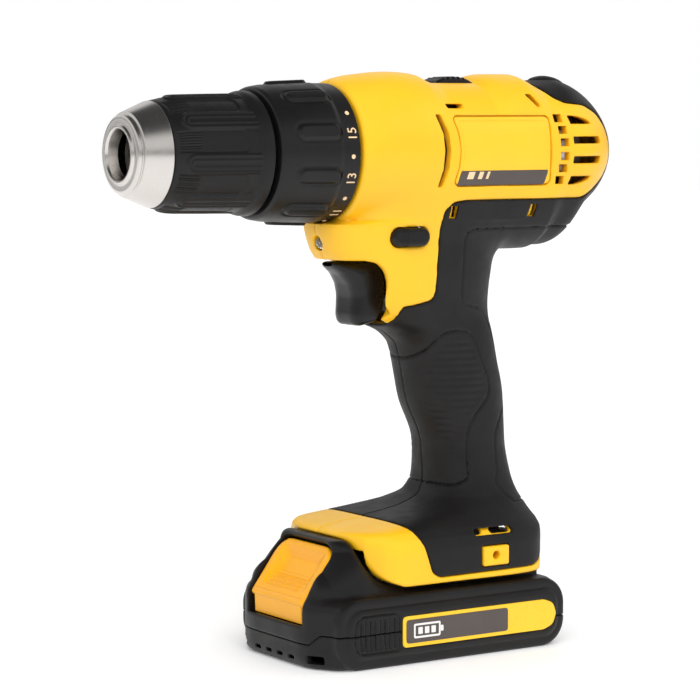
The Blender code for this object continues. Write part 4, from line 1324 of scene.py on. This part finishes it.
def build_small_parts(yellow, black, trigger_black, steel, lens, cream):
    bosses = moulded("hook_bosses", hook_boss_field, *around("hook_boss_left", "hook_boss_right"), 0.35)
    place(bosses, "housing", "yellow_shell", ["hook_boss_left", "hook_boss_right"], yellow)
    trigger = moulded("trigger_lever", trigger_field, (-32.0, -10.0, 126.5), (-6.0, 10.0, 152.0), 0.35)
    place(trigger, "trigger", "black_shell", ["trigger"], trigger_black)
    button = moulded("direction_slider", button_field, *around("direction_button"), 0.33)
    place(button, "direction_button", "black_shell", ["direction_button"], trigger_black)
    selector = moulded("speed_slider", selector_field, *around("speed_selector"), 0.35)
    place(selector, "speed_selector", "black_shell", ["speed_selector"], black)
    for number in range(1, 6):
        node = f"housing_screw_{number}"
        screw = moulded(f"case_screw_{number}", screw_field(number), *around(node), 0.3)
        place(screw, "housing", "dark_steel", [node], steel)
    corners = [(LIGHT[0] - 2.45 + x, radius, rounding) for x, radius, rounding in LENS_SHAPE]
    dome = turned("light_dome", corners, 40, middle=LIGHT[2])
    place(dome, "housing", "clear_lens", ["work_light_lens"], lens)
    corners = ((-34.0, 0.05, 0), (-34.0, 1.3, 0.3), (-33.5, 1.6, 0.2), (-33.5, 0.05, 0))
    place(turned("light_chip", corners, 24, middle=LIGHT[2]), "housing", "circuit_board", [], cream)


def build_front(black, dial, steel, cream):
    nose = turned("nose_cone", NOSE, 160, sharp=30)
    place(nose, "spindle", "bright_steel", ["chuck_nose"], steel)
    sleeve = turned("grip_sleeve", SLEEVE, 600, sleeve_relief, 0.45, 19.8)
    place(sleeve, "chuck_sleeve", "black_shell", ["chuck_sleeve"], black)
    collar = turned("torque_collar", COLLAR, 520, collar_relief, 0.35, 24.9)
    place(collar, "clutch_collar", "black_shell", ["clutch_collar"], dial)
    place(dial_marks(), "clutch_collar", "grey_plastic", [], cream)


def build_pack(black, yellow, film, strip, white):
    low, high = around("battery_case", "battery_cover")
    case = moulded("pack_case", case_field, low, (high[0], high[1], 15.0), 0.6)
    place(case, "battery", "black_shell", ["battery_case"], black)
    cover = moulded("pack_cover", cover_field, (low[0] - 1.0, low[1], 8.5), high, 0.6)
    place(cover, "battery", "black_shell", ["battery_cover"], black)
    low, high = (-24.0, -37.0, 6.0), (51.0, 37.0, 20.0)
    place(moulded("pack_labels", label_field, low, high, 0.3), "battery", "yellow_shell", [], film)
    place(moulded("label_blocks", block_field, low, high, 0.3), "battery", "black_shell", [], strip)
    place(moulded("charge_signs", charge_field, low, high, 0.2), "battery", "grey_plastic", [], white)
    button = moulded("release_pad", release_field, (-58.0, -19.6, 15.5), (-37.0, 19.6, 46.0), 0.35)
    place(button, "release_button", "yellow_shell", ["release_button"], yellow)


def cover_inner_nodes(looks):
    """Gives every CAD node that still shows its material."""
    for name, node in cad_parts.items():
        if node.hide_render:
            continue
        found = [look for words, look in looks if any(word in name for word in words)]
        node.data.materials.clear()
        node.data.materials.append(found[0])


def build_object():
    black, yellow, dark, plain = black_plastic(), yellow_plastic(), dark_steel(), plain_steel()
    grey, strip, cream, trigger_black = grey_plastic(), strip_plastic(), printed_cream(), trigger_plastic()
    build_housing(yellow, grip_rubber())
    build_badges(badge_plastic(), strip, cream)
    build_small_parts(yellow, black, trigger_black, dark, lens_plastic(), cream)
    build_front(black, dial_plastic(), brushed_steel(), cream)
    build_pack(black, button_plastic(), label_film(), strip, printed_white())
    cover_inner_nodes(
        (
            (("cell",), cell_wrap()),
            (("board",), board_green()),
            (("armature",), copper_winding()),
            (("switch_body", "terminal_block", "motor_end_cap", "cooling_fan"), grey),
            (("magnet", "jaw", "screw", "pinion", "planet", "carrier"), dark),
            (("",), plain),
        )
    )


# ---- Studio ----


def stage_material(name, colour):
    return surface(name, colour, 0.6, (3.0, 3.0, 3.0), 0.02, blotch=0.004)


FLOOR_GLOW = 0.12  # the floor's own light, which keeps it white under the drill's soft shadow


def build_floor():
    shape = bmesh.new()
    bmesh.ops.create_circle(shape, cap_ends=True, segments=96, radius=6.0)
    mesh = bpy.data.meshes.new("floor")
    shape.to_mesh(mesh)
    shape.free()
    paper = stage_material("floor_paper", (0.96, 0.96, 0.96))
    shader = paper.node_tree.nodes["Principled BSDF"]
    shader.inputs["Emission Color"].default_value = (1.0, 1.0, 1.0, 1.0)
    shader.inputs["Emission Strength"].default_value = FLOOR_GLOW
    mesh.materials.append(paper)
    floor = bpy.data.objects.new("floor", mesh)
    bpy.context.scene.collection.objects.link(floor)
    floor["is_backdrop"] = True


def soft_sun(name, towards, strength, spread):
    """A distant lamp that is wide enough for soft shadows."""
    lamp = bpy.data.lights.new(name, "SUN")
    lamp.energy = strength
    lamp.angle = math.radians(spread)
    holder = bpy.data.objects.new(name, lamp)
    holder.rotation_euler = Vector(towards).to_track_quat("-Z", "Y").to_euler()
    holder.visible_glossy = False
    bpy.context.scene.collection.objects.link(holder)


def room_bands(tree):
    """The room's brightness by elevation in degrees: dark at the horizon and overhead, bright between."""
    place = tree.nodes.new("ShaderNodeTexCoord")
    parts = tree.nodes.new("ShaderNodeSeparateXYZ")
    tree.links.new(place.outputs["Generated"], parts.inputs["Vector"])
    height = tree.nodes.new("ShaderNodeMapRange")
    height.inputs["From Min"].default_value = -1.0
    tree.links.new(parts.outputs["Z"], height.inputs["Value"])
    bands = ((-90, 0.8), (-3, 0.8), (-1, 0.3), (7, 0.3), (14, 0.8), (38, 0.75), (52, 0.08), (90, 0.06))
    room = tree.nodes.new("ShaderNodeValToRGB")
    while len(room.color_ramp.elements) < len(bands):
        room.color_ramp.elements.new(0.5)
    for stop, (elevation, value) in zip(room.color_ramp.elements, bands):
        stop.position = (math.sin(math.radians(elevation)) + 1) / 2
        stop.color = (value, value, value, 1)
    tree.links.new(height.outputs["Result"], room.inputs["Fac"])
    return room.outputs["Color"]


def light_room():
    """A banded room for the object to reflect, plain white behind it, and three soft suns."""
    world = bpy.data.worlds.new("studio")
    bpy.context.scene.world = world
    world.use_nodes = True
    tree = world.node_tree
    seen = tree.nodes.new("ShaderNodeLightPath")
    pick = tree.nodes.new("ShaderNodeMix")
    pick.data_type = "RGBA"
    banded, plain = [socket for socket in pick.inputs if socket.type == "RGBA"]
    tree.links.new(room_bands(tree), banded)
    plain.default_value = (1.0, 1.0, 1.0, 1)
    tree.links.new(seen.outputs["Is Camera Ray"], pick.inputs[0])
    result = [socket for socket in pick.outputs if socket.type == "RGBA"][0]
    back = tree.nodes["Background"]
    tree.links.new(result, back.inputs["Color"])
    soft_sun("key", (0.45, 0.9, -0.75), 1.65, 45.0)
    soft_sun("top", (0.1, 0.2, -1.0), 1.25, 70.0)
    soft_sun("side", (-1.0, 0.5, -0.5), 0.3, 40.0)


def place_camera():
    lens = bpy.data.cameras.new("camera")
    lens.lens = 135.57
    lens.sensor_width = 36.0
    lens.clip_end = 50.0
    camera = bpy.data.objects.new("camera", lens)
    yaw, pitch, roll = (math.radians(angle) for angle in (32.95, 5.11, -0.11))
    forward = Vector((math.sin(yaw) * math.cos(pitch), math.cos(yaw) * math.cos(pitch), -math.sin(pitch)))
    turn = forward.to_track_quat("-Z", "Y").to_matrix() @ Matrix.Rotation(roll, 3, "Z")
    camera.matrix_world = Matrix.Translation((-0.57076, -0.84612, 0.20714)) @ turn.to_4x4()
    bpy.context.scene.collection.objects.link(camera)
    bpy.context.scene.camera = camera


build_object()
build_floor()
light_room()
place_camera()
bpy.context.scene.view_settings.view_transform = "Standard"

boxes = {"cad": cad_bounds, "visual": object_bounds()}
{name: [list(corner) for corner in box] for name, box in boxes.items()}
